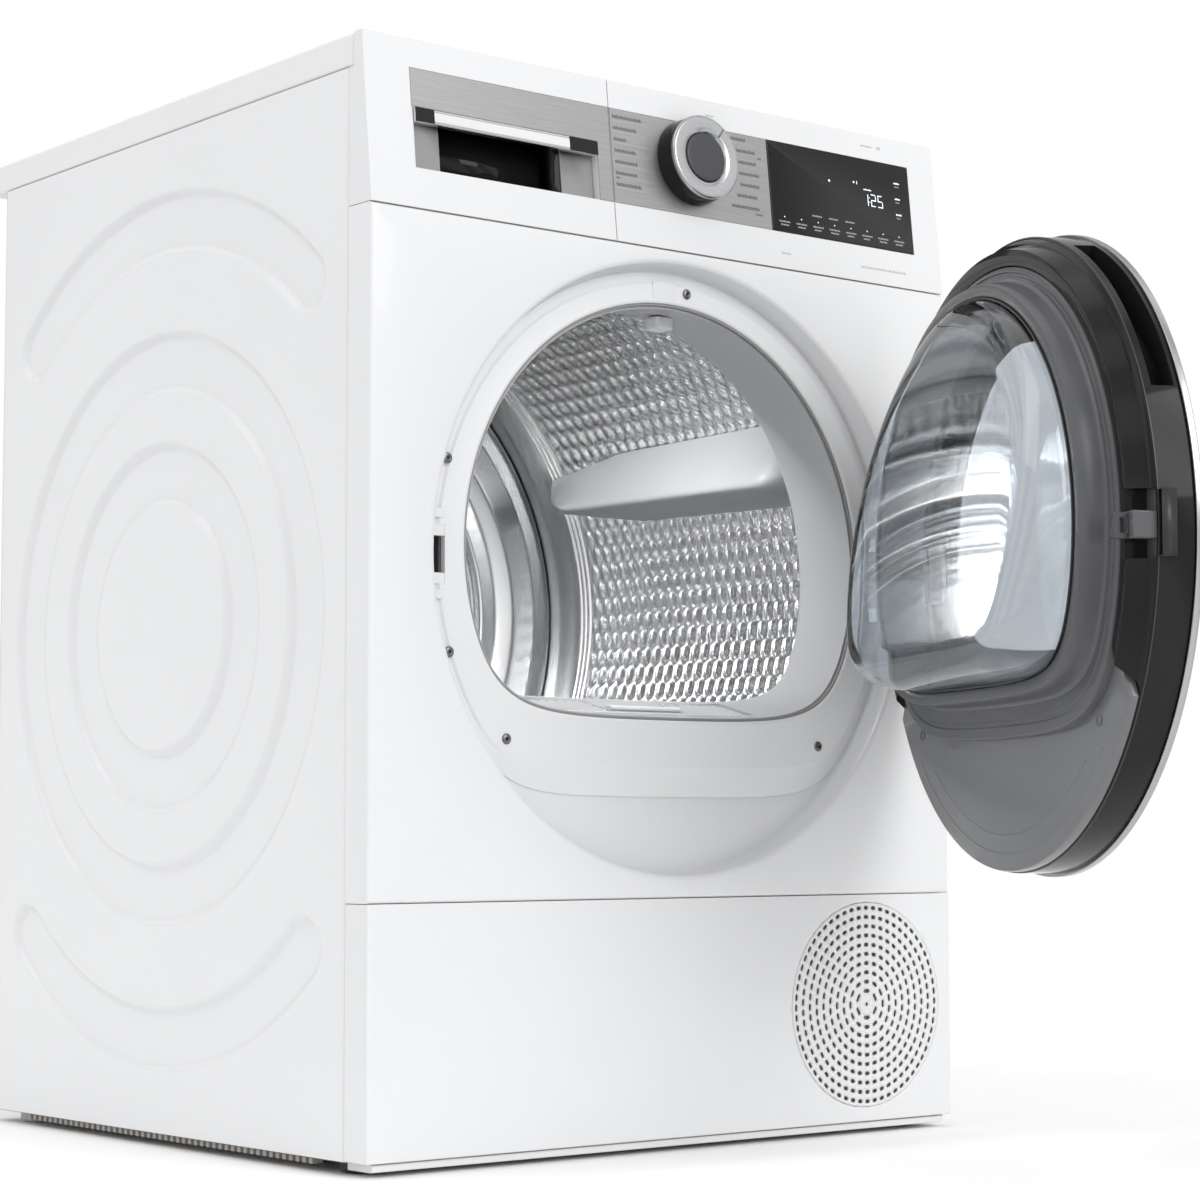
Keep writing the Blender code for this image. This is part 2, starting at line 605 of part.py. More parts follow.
def make_knob():
    """The skirt with its stem, the metal ring and the cap share one axis square to the panel."""
    centre = (KNOB_X, 0, KNOB_ALONG)
    foot = -0.4 * MM
    front = -KNOB_DEPTH
    seat = front + 4.2 * MM
    skirt = [(0, seat), (KNOB_RADIUS - 1.2 * MM, seat), (KNOB_RADIUS, foot), (KNOB_RADIUS - 3 * MM, foot),
             (KNOB_RADIUS - 4 * MM, seat + 3 * MM), (KNOB_BORE, seat + 3 * MM), (KNOB_BORE, 11 * MM),
             (0, 11 * MM)]
    turned("knob_skirt", skirt, centre, BLACK, panel, steps=48)
    ring = [(20.5 * MM, seat - GAP), (KNOB_RADIUS - 1.2 * MM, seat - GAP),
            (KNOB_RADIUS - 1.4 * MM, front + 1 * MM), (KNOB_RADIUS - 2.6 * MM, front),
            (21.5 * MM, front), (20.5 * MM, front + 0.8 * MM)]
    turned("knob_ring", ring, centre, SILVER, panel, steps=48)
    cap = [(0, seat - GAP), (20.2 * MM, seat - GAP), (20.2 * MM, front + 1.2 * MM),
           (19.4 * MM, front + 0.5 * MM), (0, front + 0.5 * MM)]
    turned("knob_cap", cap, centre, DARK_GREY, panel, steps=48)


def make_drawer():
    left, right = -WIDTH / 2, SEAM_X - SEAM
    front = fascia("drawer_front", left, right, WHITE_PLASTIC)
    low = TRIM_LOW
    box = slab("recess_box", (RECESS_LEFT - RECESS_WALL, 2 * MM, low - RECESS_WALL),
               (RECESS_RIGHT + RECESS_WALL, RECESS_DEPTH, RECESS_HIGH + RECESS_WALL), parent=panel)
    mouth = slab("recess_mouth", (RECESS_LEFT, -5 * MM, low),
                 (RECESS_RIGHT, RECESS_DEPTH - RECESS_WALL, RECESS_HIGH), parent=panel)
    trim_cut = slab("drawer_trim_seat", (TRIM_LEFT - GAP, -5 * MM, low - GAP),
                    (right + 5 * MM, TRIM_THICKNESS + GAP, TRIM_HIGH + GAP), parent=panel)
    join(front, box)
    cut(front, trim_cut, mouth)
    trim = slab("drawer_steel_trim", (TRIM_LEFT, 0, low), (right - GAP, TRIM_THICKNESS, TRIM_HIGH),
                BRUSHED, panel)
    window = slab("trim_window", (TRIM_LEFT - 5 * MM, -5 * MM, low - 5 * MM),
                  (RECESS_RIGHT + GAP, 5 * MM, RECESS_HIGH + GAP), parent=panel)
    cut(trim, window)
    slab("drawer_grip_bar", (RECESS_LEFT + GAP, -1.6 * MM, RECESS_HIGH - GRIP_BAR_HEIGHT),
         (RECESS_RIGHT - GAP, 4 * MM, RECESS_HIGH - GAP), CHROME, panel, bevel=1.2 * MM)
    floor = CROSSBAR_TOP + GAP
    base = floor + 2 * MM
    tank_front = behind(41.3 * MM)
    tank = slab("water_container", (TANK_LEFT, tank_front, base + GAP),
                (TANK_RIGHT, behind(TANK_REAR), base + GAP + TANK_HEIGHT), WHITE_PLASTIC)
    cut(tank, slab("tank_hollow", (TANK_LEFT + TANK_WALL, tank_front + TANK_WALL, base + TANK_WALL + GAP),
                   (TANK_RIGHT - TANK_WALL, behind(TANK_REAR) - TANK_WALL,
                    base + GAP + TANK_HEIGHT - TANK_WALL)))
    cut(tank, rod("fill_hole", 12 * MM, base + 30 * MM, base + TANK_HEIGHT + 20 * MM,
                  (TANK_LEFT + 40 * MM, behind(TANK_REAR - 40 * MM), 0), axis="Z", steps=TINY_ROUND))
    housing = slab("container_housing", (TANK_LEFT - 4 * MM, behind(44 * MM), floor),
                   (TANK_RIGHT + 4 * MM, behind(TANK_REAR + 8 * MM), 811 * MM), WHITE_PLASTIC)
    cut(housing, slab("housing_hollow", (TANK_LEFT - 2 * MM, behind(30 * MM), base),
                      (TANK_RIGHT + 2 * MM, behind(TANK_REAR + 6 * MM), 820 * MM)))


# Door, drawn closed and turned open about its pin

def make_door_front():
    ring_rear = RING_FRONT + RING_THICKNESS
    inner = RING_RADIUS - RING_WIDTH
    chamfer = 0.8 * MM
    profile = [(inner, RING_FRONT + 0.4 * MM), (inner + 0.4 * MM, RING_FRONT),
               (RING_RADIUS - chamfer, RING_FRONT), (RING_RADIUS, RING_FRONT + chamfer),
               (RING_RADIUS, ring_rear), (inner, ring_rear)]
    turned("door_ring", [(r, behind(d)) for r, d in profile], DOOR_CENTRE, SILVER, door)
    rod("door_glass", inner - GAP, behind(RING_FRONT + 0.4 * MM),
        behind(RING_FRONT + 0.4 * MM + GLASS_THICKNESS), DOOR_CENTRE, SMOKED, door, steps=ROUND)


def hinge_pocket(name):
    """The room that the fixed hinge arms need, from the closed door to the open one."""
    outline = [(233 * MM, behind(-28.5 * MM)), (205 * MM, behind(25 * MM)),
               (262 * MM, behind(25 * MM)), (262 * MM, behind(-28.5 * MM))]
    return prism(name, outline, DOOR_Z - POCKET_HALF, DOOR_Z + POCKET_HALF, parent=door, axis="Z")


def make_door_shell():
    glass_rear = RING_FRONT + 0.4 * MM + GLASS_THICKNESS
    seat = glass_rear + GAP
    inner = RING_RADIUS - RING_WIDTH
    rim = RING_FRONT + RING_THICKNESS + GAP
    wall = SHELL_WALL
    edge = SHELL_RADIUS - 1 * MM
    profile = [(185 * MM, seat), (inner - GAP, seat), (inner - GAP, rim), (SHELL_RADIUS, rim),
               (edge, SHELL_REAR - 1.5 * MM), (edge - 0.6 * MM, SHELL_REAR), (edge - wall, SHELL_REAR),
               (SHELL_RADIUS - wall, seat + wall), (185 * MM, seat + wall)]
    shell = turned("door_shell", [(r, behind(d)) for r, d in profile], DOOR_CENTRE, BLACK, door)
    low = SHELL_REAR - 1.1 * MM
    step = lofted("step_guide", [dee(edge - 1.4 * MM, DOOR_Z, None, low),
                                 dee(edge - 1.4 * MM, DOOR_Z, None, SHELL_REAR - 0.3 * MM),
                                 dee(edge - 6 * MM, DOOR_Z, None, SHELL_REAR + 1.5 * MM),
                                 dee(FRAME_RADIUS + 3.6 * MM, FRAME_Z, None, 14 * MM),
                                 dee(FRAME_RADIUS + 1 * MM, FRAME_Z, None, 14 * MM),
                                 dee(FRAME_RADIUS + 1 * MM, FRAME_Z, None, low)], parent=door)
    low, high = seat + wall + 2 * MM, FLANGE_FRONT - 3 * MM
    rim = 2.5 * MM
    spread = 0.014
    liner = arc_band("grip_liner", SHELL_RADIUS - GRIP_DEPTH - rim, SHELL_RADIUS - 1.8 * MM,
                     GRIP_FROM - spread, GRIP_TO + spread, low - rim, high + rim, parent=door)
    mouth = arc_band("grip_mouth", SHELL_RADIUS - GRIP_DEPTH, SHELL_RADIUS + 10 * MM,
                     GRIP_FROM, GRIP_TO, low, high, parent=door)
    below = slab("trim_foot", (-0.3, behind(SHELL_REAR - 0.2 * MM), 0.1), (0.3, behind(30 * MM), 326 * MM),
                 parent=door)
    hook_room = slab("hook_room", (HOOK_X - 16 * MM, behind(SHELL_REAR - 1.3 * MM), LATCH_Z - 22 * MM),
                     (HOOK_X + 7.5 * MM, behind(30 * MM), LATCH_Z + 26 * MM), parent=door)
    join(shell, step, liner)
    cut(shell, mouth, below, hook_room, hinge_pocket("shell_hinge_pocket"))


def make_door_frame():
    base = FLANGE_FRONT
    wall = 3 * MM
    collar = OPENING_RADIUS - COLLAR_CLEARANCE
    flat = OPENING_FLAT + COLLAR_CLEARANCE
    hole = collar - COLLAR_WALL - GASKET
    hole_flat = flat + COLLAR_WALL + GASKET
    chin = SHELL_RADIUS - 1 * MM - SHELL_WALL - 1.2 * MM
    rings = [dee(chin, DOOR_Z, None, base),
             dee(chin, DOOR_Z, None, base + wall),
             dee(FRAME_RADIUS, FRAME_Z, FRAME_FLAT, base + wall),
             dee(FRAME_RADIUS, FRAME_Z, FRAME_FLAT, FRAME_FACE - 1.5 * MM),
             dee(FRAME_RADIUS - 1.5 * MM, FRAME_Z, FRAME_FLAT + 1.5 * MM, FRAME_FACE),
             dee(collar + 2.5 * MM, OPENING_Z, flat - 2.5 * MM, FRAME_FACE),
             dee(collar, OPENING_Z, flat, FRAME_FACE + 2.5 * MM),
             dee(collar - 1.5 * MM, OPENING_Z, flat + 1.5 * MM, COLLAR_REAR - 2 * MM),
             dee(collar - 3.5 * MM, OPENING_Z, flat + 3.5 * MM, COLLAR_REAR),
             dee(hole, OPENING_Z, hole_flat, COLLAR_REAR - 1 * MM),
             dee(hole, OPENING_Z, hole_flat, base),
             dee(hole + wall, OPENING_Z, hole_flat - wall, base),
             dee(hole + wall, OPENING_Z, hole_flat - wall, FRAME_FACE - wall),
             dee(FRAME_RADIUS - wall, FRAME_Z, FRAME_FLAT + wall, FRAME_FACE - wall),
             dee(FRAME_RADIUS - wall, FRAME_Z, FRAME_FLAT + wall, base)]
    frame = lofted("door_frame", rings, DOOR_GREY, door)
    chin_plate = rod("chin_plate", SHELL_RADIUS - 1.6 * MM, behind(SHELL_REAR + 0.4 * MM), behind(CHIN_FACE),
                     DOOR_CENTRE, parent=door, steps=ROUND)
    cut(chin_plate, slab("chin_top", (-0.3, behind(-30 * MM), FRAME_FLAT + 1.2 * MM),
                         (0.3, behind(30 * MM), 0.8), parent=door))
    join(frame, chin_plate)
    cut(frame, hinge_pocket("frame_hinge_pocket"))
    hook = slab("latch_hook", (HOOK_X - HOOK_HALF, behind(FLANGE_FRONT + 3 * MM + GAP), LATCH_Z - HOOK_HEIGHT / 2),
                (HOOK_X + HOOK_HALF, behind(HOOK_REAR), LATCH_Z + HOOK_HEIGHT / 2), DARK_GREY, door)
    cut(hook, slab("hook_eye", (HOOK_X - 20 * MM, behind(17 * MM), LATCH_Z - HOOK_HEIGHT / 2 + 4 * MM),
                   (HOOK_X + 20 * MM, behind(22 * MM), LATCH_Z + HOOK_HEIGHT / 2 - 4 * MM), parent=door))


def make_bowl():
    collar = OPENING_RADIUS - COLLAR_CLEARANCE
    flat = OPENING_FLAT + COLLAR_CLEARANCE
    hole = collar - COLLAR_WALL - GASKET
    hole_flat = flat + COLLAR_WALL + GASKET
    wall = hole - GASKET
    wall_flat = hole_flat + GASKET
    high_z, low_z = OPENING_Z + wall, wall_flat

    def reach(share, inset=0.0):
        """How far back this share of the bowl's depth lies, at each height."""
        def depth(z):
            lean = 0.2 + 0.8 * (high_z - z) / (high_z - low_z)
            return (BOWL_DEPTH * share - inset) * lean
        return depth

    def ring(shrink, share, inset=0.0, depth=COLLAR_REAR):
        return dee(wall - shrink - inset, OPENING_Z, wall_flat + shrink + inset, depth,
                   slope=reach(share, inset))

    flange = FLANGE_FRONT - GAP
    flange_radius, flange_flat = hole + 7 * MM, hole_flat - 7 * MM
    thick = BOWL_WALL
    rings = [dee(flange_radius, OPENING_Z, flange_flat, flange - 4 * MM),
             dee(flange_radius, OPENING_Z, flange_flat, flange),
             dee(wall, OPENING_Z, wall_flat, flange),
             dee(wall, OPENING_Z, wall_flat, COLLAR_REAR),
             ring(3 * MM, 0.45), ring(9 * MM, 0.8), ring(18 * MM, 0.97), ring(30 * MM, 1.0)]
    inside = [ring(30 * MM, 1.0, thick), ring(18 * MM, 0.97, thick), ring(9 * MM, 0.8, thick),
              ring(3 * MM, 0.45, thick),
              dee(wall - thick, OPENING_Z, wall_flat + thick, COLLAR_REAR - 2 * MM),
              dee(wall - thick, OPENING_Z, wall_flat + thick, flange - 4 * MM)]
    lofted("door_bowl", rings + inside, CLEAR, door, cup=len(rings))


def make_hinge():
    pin = (HINGE_X, behind(HINGE_DEPTH), 0)
    rod("hinge_pin", PIN_RADIUS, DOOR_Z - BRACKET_HALF - 2 * MM, DOOR_Z + BRACKET_HALF + 2 * MM, pin,
        ZINC, axis="Z", steps=TINY_ROUND)
    face = behind(BEZEL_FACE - GAP)
    bracket = slab("hinge_bracket", (213.5 * MM, face - 2.5 * MM, DOOR_Z - BRACKET_HALF),
                   (232 * MM, face, DOOR_Z + BRACKET_HALF), ZINC)
    for side in (-1, 1):
        ends = sorted((DOOR_Z + side * (KNUCKLE_HALF + GAP), DOOR_Z + side * (BRACKET_HALF - 0.5 * MM)))
        arm = [(213.9 * MM, face - 1 * MM), (226 * MM, face - 1 * MM), (247 * MM, pin[1] + 4 * MM),
               (238 * MM, pin[1] - 4 * MM)]
        eye = (ends[0] + 0.4 * MM, ends[1] - 0.4 * MM)
        join(bracket, prism(f"bracket_arm_{side}", arm, *ends, axis="Z"),
             rod(f"bracket_eye_{side}", KNUCKLE_RADIUS, *eye, pin, axis="Z", steps=16))
    cut(bracket, rod("bracket_bore", PIN_RADIUS + GAP, DOOR_Z - 60 * MM, DOOR_Z + 60 * MM, pin, axis="Z",
                     steps=TINY_ROUND))
    seat = RING_FRONT + 0.4 * MM + GLASS_THICKNESS + GAP + SHELL_WALL + GAP
    low, high = DOOR_Z - KNUCKLE_HALF, DOOR_Z + KNUCKLE_HALF
    leaf = slab("hinge_arm", (190 * MM, behind(seat), low + 0.5 * MM),
                (HINGE_X + 1 * MM, behind(seat + 3.4 * MM), high - 0.5 * MM), ZINC, door)
    join(leaf, rod("arm_eye", KNUCKLE_RADIUS, low, high, pin, parent=door, axis="Z", steps=16))
    cut(leaf, rod("arm_bore", PIN_RADIUS + GAP, low - 5 * MM, high + 5 * MM, pin, parent=door, axis="Z",
                  steps=TINY_ROUND))


# Drum, drive and air path

def roller_place(side):
    reach = DRUM_RADIUS + ROLLER_RADIUS + GAP
    return side * reach * math.sin(ROLLER_SPREAD), DRUM_Z - reach * math.cos(ROLLER_SPREAD)


def make_front_shield():
    low = DISH_DEPTH + DISH_FLOOR + GAP
    plate_front, plate_rear = 88 * MM, 91 * MM
    flare = 8 * MM
    edge = OPENING_RADIUS + 21 * MM
    wall = OPENING_WALL
    flat = OPENING_FLAT
    rings = [dee(OPENING_RADIUS, OPENING_Z, flat, low),
             dee(OPENING_RADIUS + flare, OPENING_Z, flat, plate_rear),
             dee(OPENING_RADIUS + 66 * MM, OPENING_Z, flat - 66 * MM, plate_rear),
             dee(OPENING_RADIUS + 66 * MM, OPENING_Z, flat - 66 * MM, plate_front),
             dee(OPENING_RADIUS + flare + wall, OPENING_Z, flat - wall, plate_front),
             dee(OPENING_RADIUS + wall, OPENING_Z, flat - wall, low + 2 * MM),
             dee(edge, OPENING_Z, flat - 21 * MM, low + 2 * MM),
             dee(edge, OPENING_Z, flat - 21 * MM, low)]
    tunnel = lofted("front_tunnel", rings)
    shield = slab("front_shield", (-TRAY_HALF, behind(plate_front), 170 * MM),
                  (TRAY_HALF, behind(plate_rear), 721 * MM), WHITE_PLASTIC)
    hole = [dee(OPENING_RADIUS + 30 * MM, OPENING_Z, flat - 30 * MM, d) for d in (70 * MM, 110 * MM)]
    cut(shield, lofted("shield_hole", hole, looped=False))
    join(shield, tunnel)
    for side in (-1, 1):
        x, z = roller_place(side)
        join(shield, rod(f"roller_axle_{side}", ROLLER_AXLE, behind(plate_front + 1 * MM),
                         behind(DRUM_FRONT + ROLLER_WIDTH + 5 * MM), (x, 0, z), steps=TINY_ROUND))
        hand = "left" if side < 0 else "right"
        washer(f"support_roller_{hand}", ROLLER_AXLE + GAP, ROLLER_RADIUS, behind(DRUM_FRONT + 2 * MM),
               behind(DRUM_FRONT + 2 * MM + ROLLER_WIDTH), (x, 0, z), RUBBER, steps=32)
    room = 0.5 * MM
    shaft_wall = 3 * MM
    sides = (FILTER_HALF + room, FILTER_FRONT - room, FILTER_REAR + room)
    shaft = slab("filter_shaft", (-sides[0] - shaft_wall, behind(sides[1] - shaft_wall), DUCT_TOP + GAP),
                 (sides[0] + shaft_wall, behind(sides[2] + shaft_wall), OPENING_FLAT - 1 * MM))
    bore = slab("filter_bore", (-sides[0], behind(sides[1]), 100 * MM),
                (sides[0], behind(sides[2]), OPENING_FLAT + 8 * MM))
    join(shield, shaft)
    cut(shield, bore)


def make_filter():
    low = OPENING_FLAT + 1.2 * MM
    flange = slab("lint_filter", (-FILTER_HALF - 5 * MM, behind(FILTER_FRONT - 4 * MM), low),
                  (FILTER_HALF + 5 * MM, behind(FILTER_REAR + 4 * MM), low + 3 * MM), WHITE_PLASTIC)
    basket = slab("filter_basket", (-FILTER_HALF, behind(FILTER_FRONT), FILTER_BOTTOM),
                  (FILTER_HALF, behind(FILTER_REAR), low + 1 * MM))
    wall = 2.5 * MM
    hollow = slab("filter_hollow", (-FILTER_HALF + wall, behind(FILTER_FRONT + wall), FILTER_BOTTOM + wall),
                  (FILTER_HALF - wall, behind(FILTER_REAR - wall), low + 20 * MM))
    bridge = slab("filter_grip", (-24 * MM, behind(FILTER_FRONT + 1 * MM), low),
                  (24 * MM, behind(FILTER_REAR - 1 * MM), low + 3 * MM))
    join(flange, basket)
    cut(flange, hollow)
    join(flange, bridge)


def make_drum():
    lip = DRUM_FRONT + DRUM_WALL
    inner = DRUM_RADIUS - DRUM_WALL
    shell = [(DRUM_LIP_RADIUS, DRUM_FRONT), (DRUM_RADIUS, DRUM_FRONT), (DRUM_RADIUS, DRUM_REAR),
             (inner, DRUM_REAR), (inner, lip), (DRUM_LIP_RADIUS, lip)]
    turned("drum_shell", [(r, behind(d)) for r, d in shell], DRUM_CENTRE, STEEL)
    reach = (inner - GAP) / MM
    solid = [(0, 508), (50, 508), (62, 518), (140, 518), (152, 528), (reach - 1.4, 528),
             (reach - 1.4, 516), (reach, 516), (reach, 529.4), (151.4, 529.4), (139.4, 519.4), (61.4, 519.4), (49.4, 509.4), (11, 509.4), (11, 566),
             (0, 566)]
    turned("drum_rear_wall", [(r * MM, behind(d * MM)) for r, d in solid], DRUM_CENTRE, STEEL, steps=ROUND)
    make_lifters(inner)


def make_lifters(inner):
    """Tapered paddles; each is drawn at the bottom of the drum and turned into place."""
    stations = [(100, 0.45), (130, 0.9), (300, 1.0), (480, 0.85), (512, 0.5)]
    for k in range(LIFTER_COUNT):
        rings = []
        for depth, share in stations:
            half = LIFTER_WIDTH / 2 * (0.75 + 0.25 * share)
            tall = LIFTER_HEIGHT * share
            ring = []
            for across, up in ((-1, 0), (-0.62, 0.45), (-0.25, 0.92), (0, 1), (0.25, 0.92),
                               (0.62, 0.45), (1, 0), (0.5, 0), (0, 0), (-0.5, 0)):
                x = across * half
                foot = math.sqrt((inner * math.cos(math.pi / ROUND) - GAP) ** 2 - x ** 2)
                ring.append((x, behind(depth * MM), -foot + up * tall))
            rings.append(ring)
        lifter = lofted(f"drum_lifter_{k + 1}", rings, WHITE_PLASTIC, looped=False)
        lifter.location = (0, 0, DRUM_Z)
        lifter.rotation_euler = (0, -(LIFTER_FIRST + math.pi / 2 + math.tau * k / LIFTER_COUNT), 0)


def make_drive():
    centre, hub = (0, DRUM_Z), (MOTOR_X, MOTOR_Z)
    inside = belt_outline(centre, DRUM_RADIUS + BELT_ROOM, hub, PULLEY_RADIUS + GAP)
    outside = belt_outline(centre, DRUM_RADIUS + BELT_ROOM + BELT_THICKNESS, hub,
                           PULLEY_RADIUS + GAP + BELT_THICKNESS)
    low, high = behind(BELT_DEPTH), behind(BELT_DEPTH + BELT_WIDTH)
    rings = [[(x, y, z) for x, z in line] for line, y in ((inside, low), (outside, low), (outside, high),
                                                          (inside, high))]
    lofted("drum_belt", rings, RUBBER)
    axis = (MOTOR_X, 0, MOTOR_Z)
    front = BELT_DEPTH + 15 * MM
    motor = rod("motor", MOTOR_RADIUS, behind(front), behind(front + 110 * MM), axis, ZINC, steps=32)
    join(motor, slab("motor_bracket", (MOTOR_X - 32 * MM, behind(front + 15 * MM), FLOOR_Z),
                     (MOTOR_X + 32 * MM, behind(front + 90 * MM), MOTOR_Z - 20 * MM)),
         rod("idler_pin", 3 * MM, behind(BELT_DEPTH + 6 * MM), behind(front + 5 * MM),
             (IDLER_PIVOT_X, 0, IDLER_PIVOT_Z), steps=TINY_ROUND))
    cut(motor, rod("motor_bore", MOTOR_SHAFT + 0.4 * MM, behind(front - 10 * MM), behind(front + 130 * MM),
                   axis, steps=16))
    profile = [(0, -10), (MOTOR_SHAFT / MM, -10), (MOTOR_SHAFT / MM, -3), (PULLEY_RADIUS / MM + 2, -3),
               (PULLEY_RADIUS / MM + 2, -1), (PULLEY_RADIUS / MM, -1), (PULLEY_RADIUS / MM, 10),
               (PULLEY_RADIUS / MM + 2, 10), (PULLEY_RADIUS / MM + 2, 12), (MOTOR_SHAFT / MM, 12),
               (MOTOR_SHAFT / MM, 205), (0, 205)]
    turned("motor_shaft", [(r * MM, behind(BELT_DEPTH + d * MM)) for r, d in profile], axis, STEEL,
           steps=SMALL_ROUND)
    make_idler()


def make_idler():
    belt_low = MOTOR_Z - PULLEY_RADIUS - GAP - BELT_THICKNESS
    rise = (DRUM_Z - DRUM_RADIUS - (MOTOR_Z - PULLEY_RADIUS)) / MOTOR_X
    surface = belt_low + rise * (MOTOR_X - IDLER_X)
    z = surface - IDLER_RADIUS - 0.5 * MM
    plate = belt_outline((IDLER_PIVOT_X, IDLER_PIVOT_Z), 8 * MM, (IDLER_X, z), 6.5 * MM, 24)
    depth = BELT_DEPTH + 11.3 * MM
    arm = prism("idler_arm", plate, behind(depth), behind(depth + 3 * MM), ZINC)
    join(arm, rod("idler_stub", 4 * MM, behind(BELT_DEPTH - 2 * MM), behind(depth + 1 * MM),
                  (IDLER_X, 0, z), steps=TINY_ROUND))
    cut(arm, rod("idler_bore", 3 * MM + GAP, behind(depth - 9 * MM), behind(depth + 9 * MM),
                 (IDLER_PIVOT_X, 0, IDLER_PIVOT_Z), steps=TINY_ROUND))
    washer("idler_pulley", 4 * MM + GAP, IDLER_RADIUS, behind(BELT_DEPTH - 0.5 * MM),
           behind(BELT_DEPTH + 10.5 * MM), (IDLER_X, 0, z), DARK_GREY, steps=SMALL_ROUND)


def impeller(name, centre, hub, bore, tip, low, high, blades, pitch, look):
    """A hub with flat blades set round it, leaning by the pitch."""
    wheel = washer(name, bore, hub, behind(low), behind(high), centre, look, steps=SMALL_ROUND)
    middle = (low + high) / 2
    reach = (hub + tip) / 2
    for k in range(blades):
        angle = math.tau * k / blades
        blade = slab(f"{name}_blade_{k}", (-(tip - hub) / 2 - 2 * MM, -(high - low) * 0.46, -1 * MM),
                     ((tip - hub) / 2, (high - low) * 0.46, 1 * MM))
        turn = Matrix.Rotation(-angle, 4, "Y") @ Matrix.Translation((reach, 0, 0))
        blade.matrix_world = (Matrix.Translation((centre[0], behind(middle), centre[2])) @ turn
                              @ Matrix.Rotation(pitch, 4, "X"))
        join(wheel, blade)
    return wheel


def make_air_path():
    wall = 3 * MM
    duct = slab("air_duct", (DUCT_LEFT, behind(DUCT_FRONT), FLOOR_Z), (DUCT_RIGHT, behind(DUCT_REAR), DUCT_TOP),
                DARK_GREY)
    cut(duct, slab("duct_hollow", (DUCT_LEFT + wall, behind(DUCT_FRONT + wall), FLOOR_Z + wall),
                   (DUCT_RIGHT - wall, behind(DUCT_REAR - wall), DUCT_TOP - wall)))
    cut(duct, slab("duct_mouth", (-FILTER_HALF, behind(DUCT_FRONT + wall), DUCT_TOP - 20 * MM),
                   (FILTER_HALF, behind(FILTER_REAR), DUCT_TOP + 20 * MM)))
    for name, start, end in (("evaporator", 95, 235), ("condenser", 255, 430)):
        slab(name, (DUCT_LEFT + wall + 2 * MM, behind(start * MM), FLOOR_Z + wall + GAP),
             (DUCT_RIGHT - wall - 2 * MM, behind(end * MM), DUCT_TOP - wall - 4 * MM), ALUMINIUM)
    compressor = rod("compressor", 62 * MM, FLOOR_Z + 2 * MM, 150 * MM, (215 * MM, behind(180 * MM), 0),
                     BLACK, axis="Z", steps=32)
    join(compressor, slab("compressor_foot", (150 * MM, behind(115 * MM), FLOOR_Z),
                          (280 * MM, behind(245 * MM), FLOOR_Z + 4 * MM)))
    fan_front = BELT_DEPTH + 160 * MM
    axis = (MOTOR_X, 0, MOTOR_Z)
    impeller("process_fan", axis, 18 * MM, MOTOR_SHAFT + GAP, FAN_RADIUS, fan_front, fan_front + 38 * MM, 8,
             0.0, DARK_GREY)
    room = FAN_RADIUS + FAN_CLEARANCE
    low, high = fan_front - 5 * MM, fan_front + 50 * MM
    join(duct, rod("fan_scroll", room + 2.5 * MM, behind(low), behind(high), axis, steps=32),
         slab("fan_leg", (10 * MM, behind(low), FLOOR_Z), (MOTOR_X + 30 * MM, behind(high), MOTOR_Z - 25 * MM)))
    cut(duct, rod("fan_room", room, behind(low + 2.5 * MM), behind(high - 2.5 * MM), axis, steps=32),
        slab("duct_outlet", (20 * MM, behind(DUCT_REAR - 20 * MM), 50 * MM),
             (MOTOR_X - 20 * MM, behind(high - 2.5 * MM), 150 * MM)),
        slab("fan_outlet", (MOTOR_X - 20 * MM, behind(low + 8 * MM), MOTOR_Z),
             (MOTOR_X + 20 * MM, behind(high - 8 * MM), MOTOR_Z + 90 * MM)),
        rod("fan_shaft_hole", MOTOR_SHAFT + 4 * MM, behind(low - 10 * MM), behind(low + 10 * MM), axis,
            steps=16))
    pump = slab("condensate_pump", (-255 * MM, behind(380 * MM), FLOOR_Z), (-185 * MM, behind(450 * MM), 50 * MM),
                DARK_GREY)
    join(pump, rod("pump_motor", 24 * MM, 45 * MM, 95 * MM, (-220 * MM, behind(415 * MM), 0), axis="Z",
                   steps=SMALL_ROUND))


def make_cooling_fan():
    centre = (COOLER_X, 0, COOLER_Z)
    half = COOLER_RADIUS + 8 * MM
    low, high = 36 * MM, 60 * MM
    frame = slab("cooling_fan_frame", (COOLER_X - half, behind(low), FLOOR_Z),
                 (COOLER_X + half, behind(high), COOLER_Z + half), DARK_GREY)
    cut(frame, rod("fan_bore", COOLER_RADIUS + 3 * MM, behind(low - 10 * MM), behind(high + 10 * MM), centre,
                   steps=32))
    join(frame, slab("fan_spider", (COOLER_X - 7 * MM, behind(high - 3.5 * MM), COOLER_Z - half + 1 * MM),
                     (COOLER_X + 7 * MM, behind(high), COOLER_Z + half - 1 * MM)),
         rod("fan_pin", 3 * MM, behind(low + 6 * MM), behind(high - 1 * MM), centre, steps=TINY_ROUND))
    impeller("cooling_fan", centre, 17 * MM, 3 * MM + GAP, COOLER_RADIUS, low + 4 * MM, high - 4.5 * MM, 5,
             math.radians(38), DARK_GREY)


make_base_tray()
make_side_panel("side_panel_left", -1)
make_side_panel("side_panel_right", 1)
make_rear()
make_worktop()
make_front_panel()
make_bezel()
make_plinth()
make_control_panel()
make_knob()
make_drawer()
make_door_front()
make_door_shell()
make_door_frame()
make_bowl()
make_hinge()
make_front_shield()
make_filter()
make_drum()
make_drive()
make_air_path()
make_cooling_fan()
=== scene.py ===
# %% [markdown]
# # A front-loading clothes dryer, dressed around its engineering model
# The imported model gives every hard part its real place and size. This lesson keeps that model as
# a fixed frame and adds the surfaces an eye notices: pressed sheet metal, a dimpled drum, glass,
# brushed trim and printed marks. The first cell loads the frame and remembers its outer box.

# %% Load the frame
import json
import math

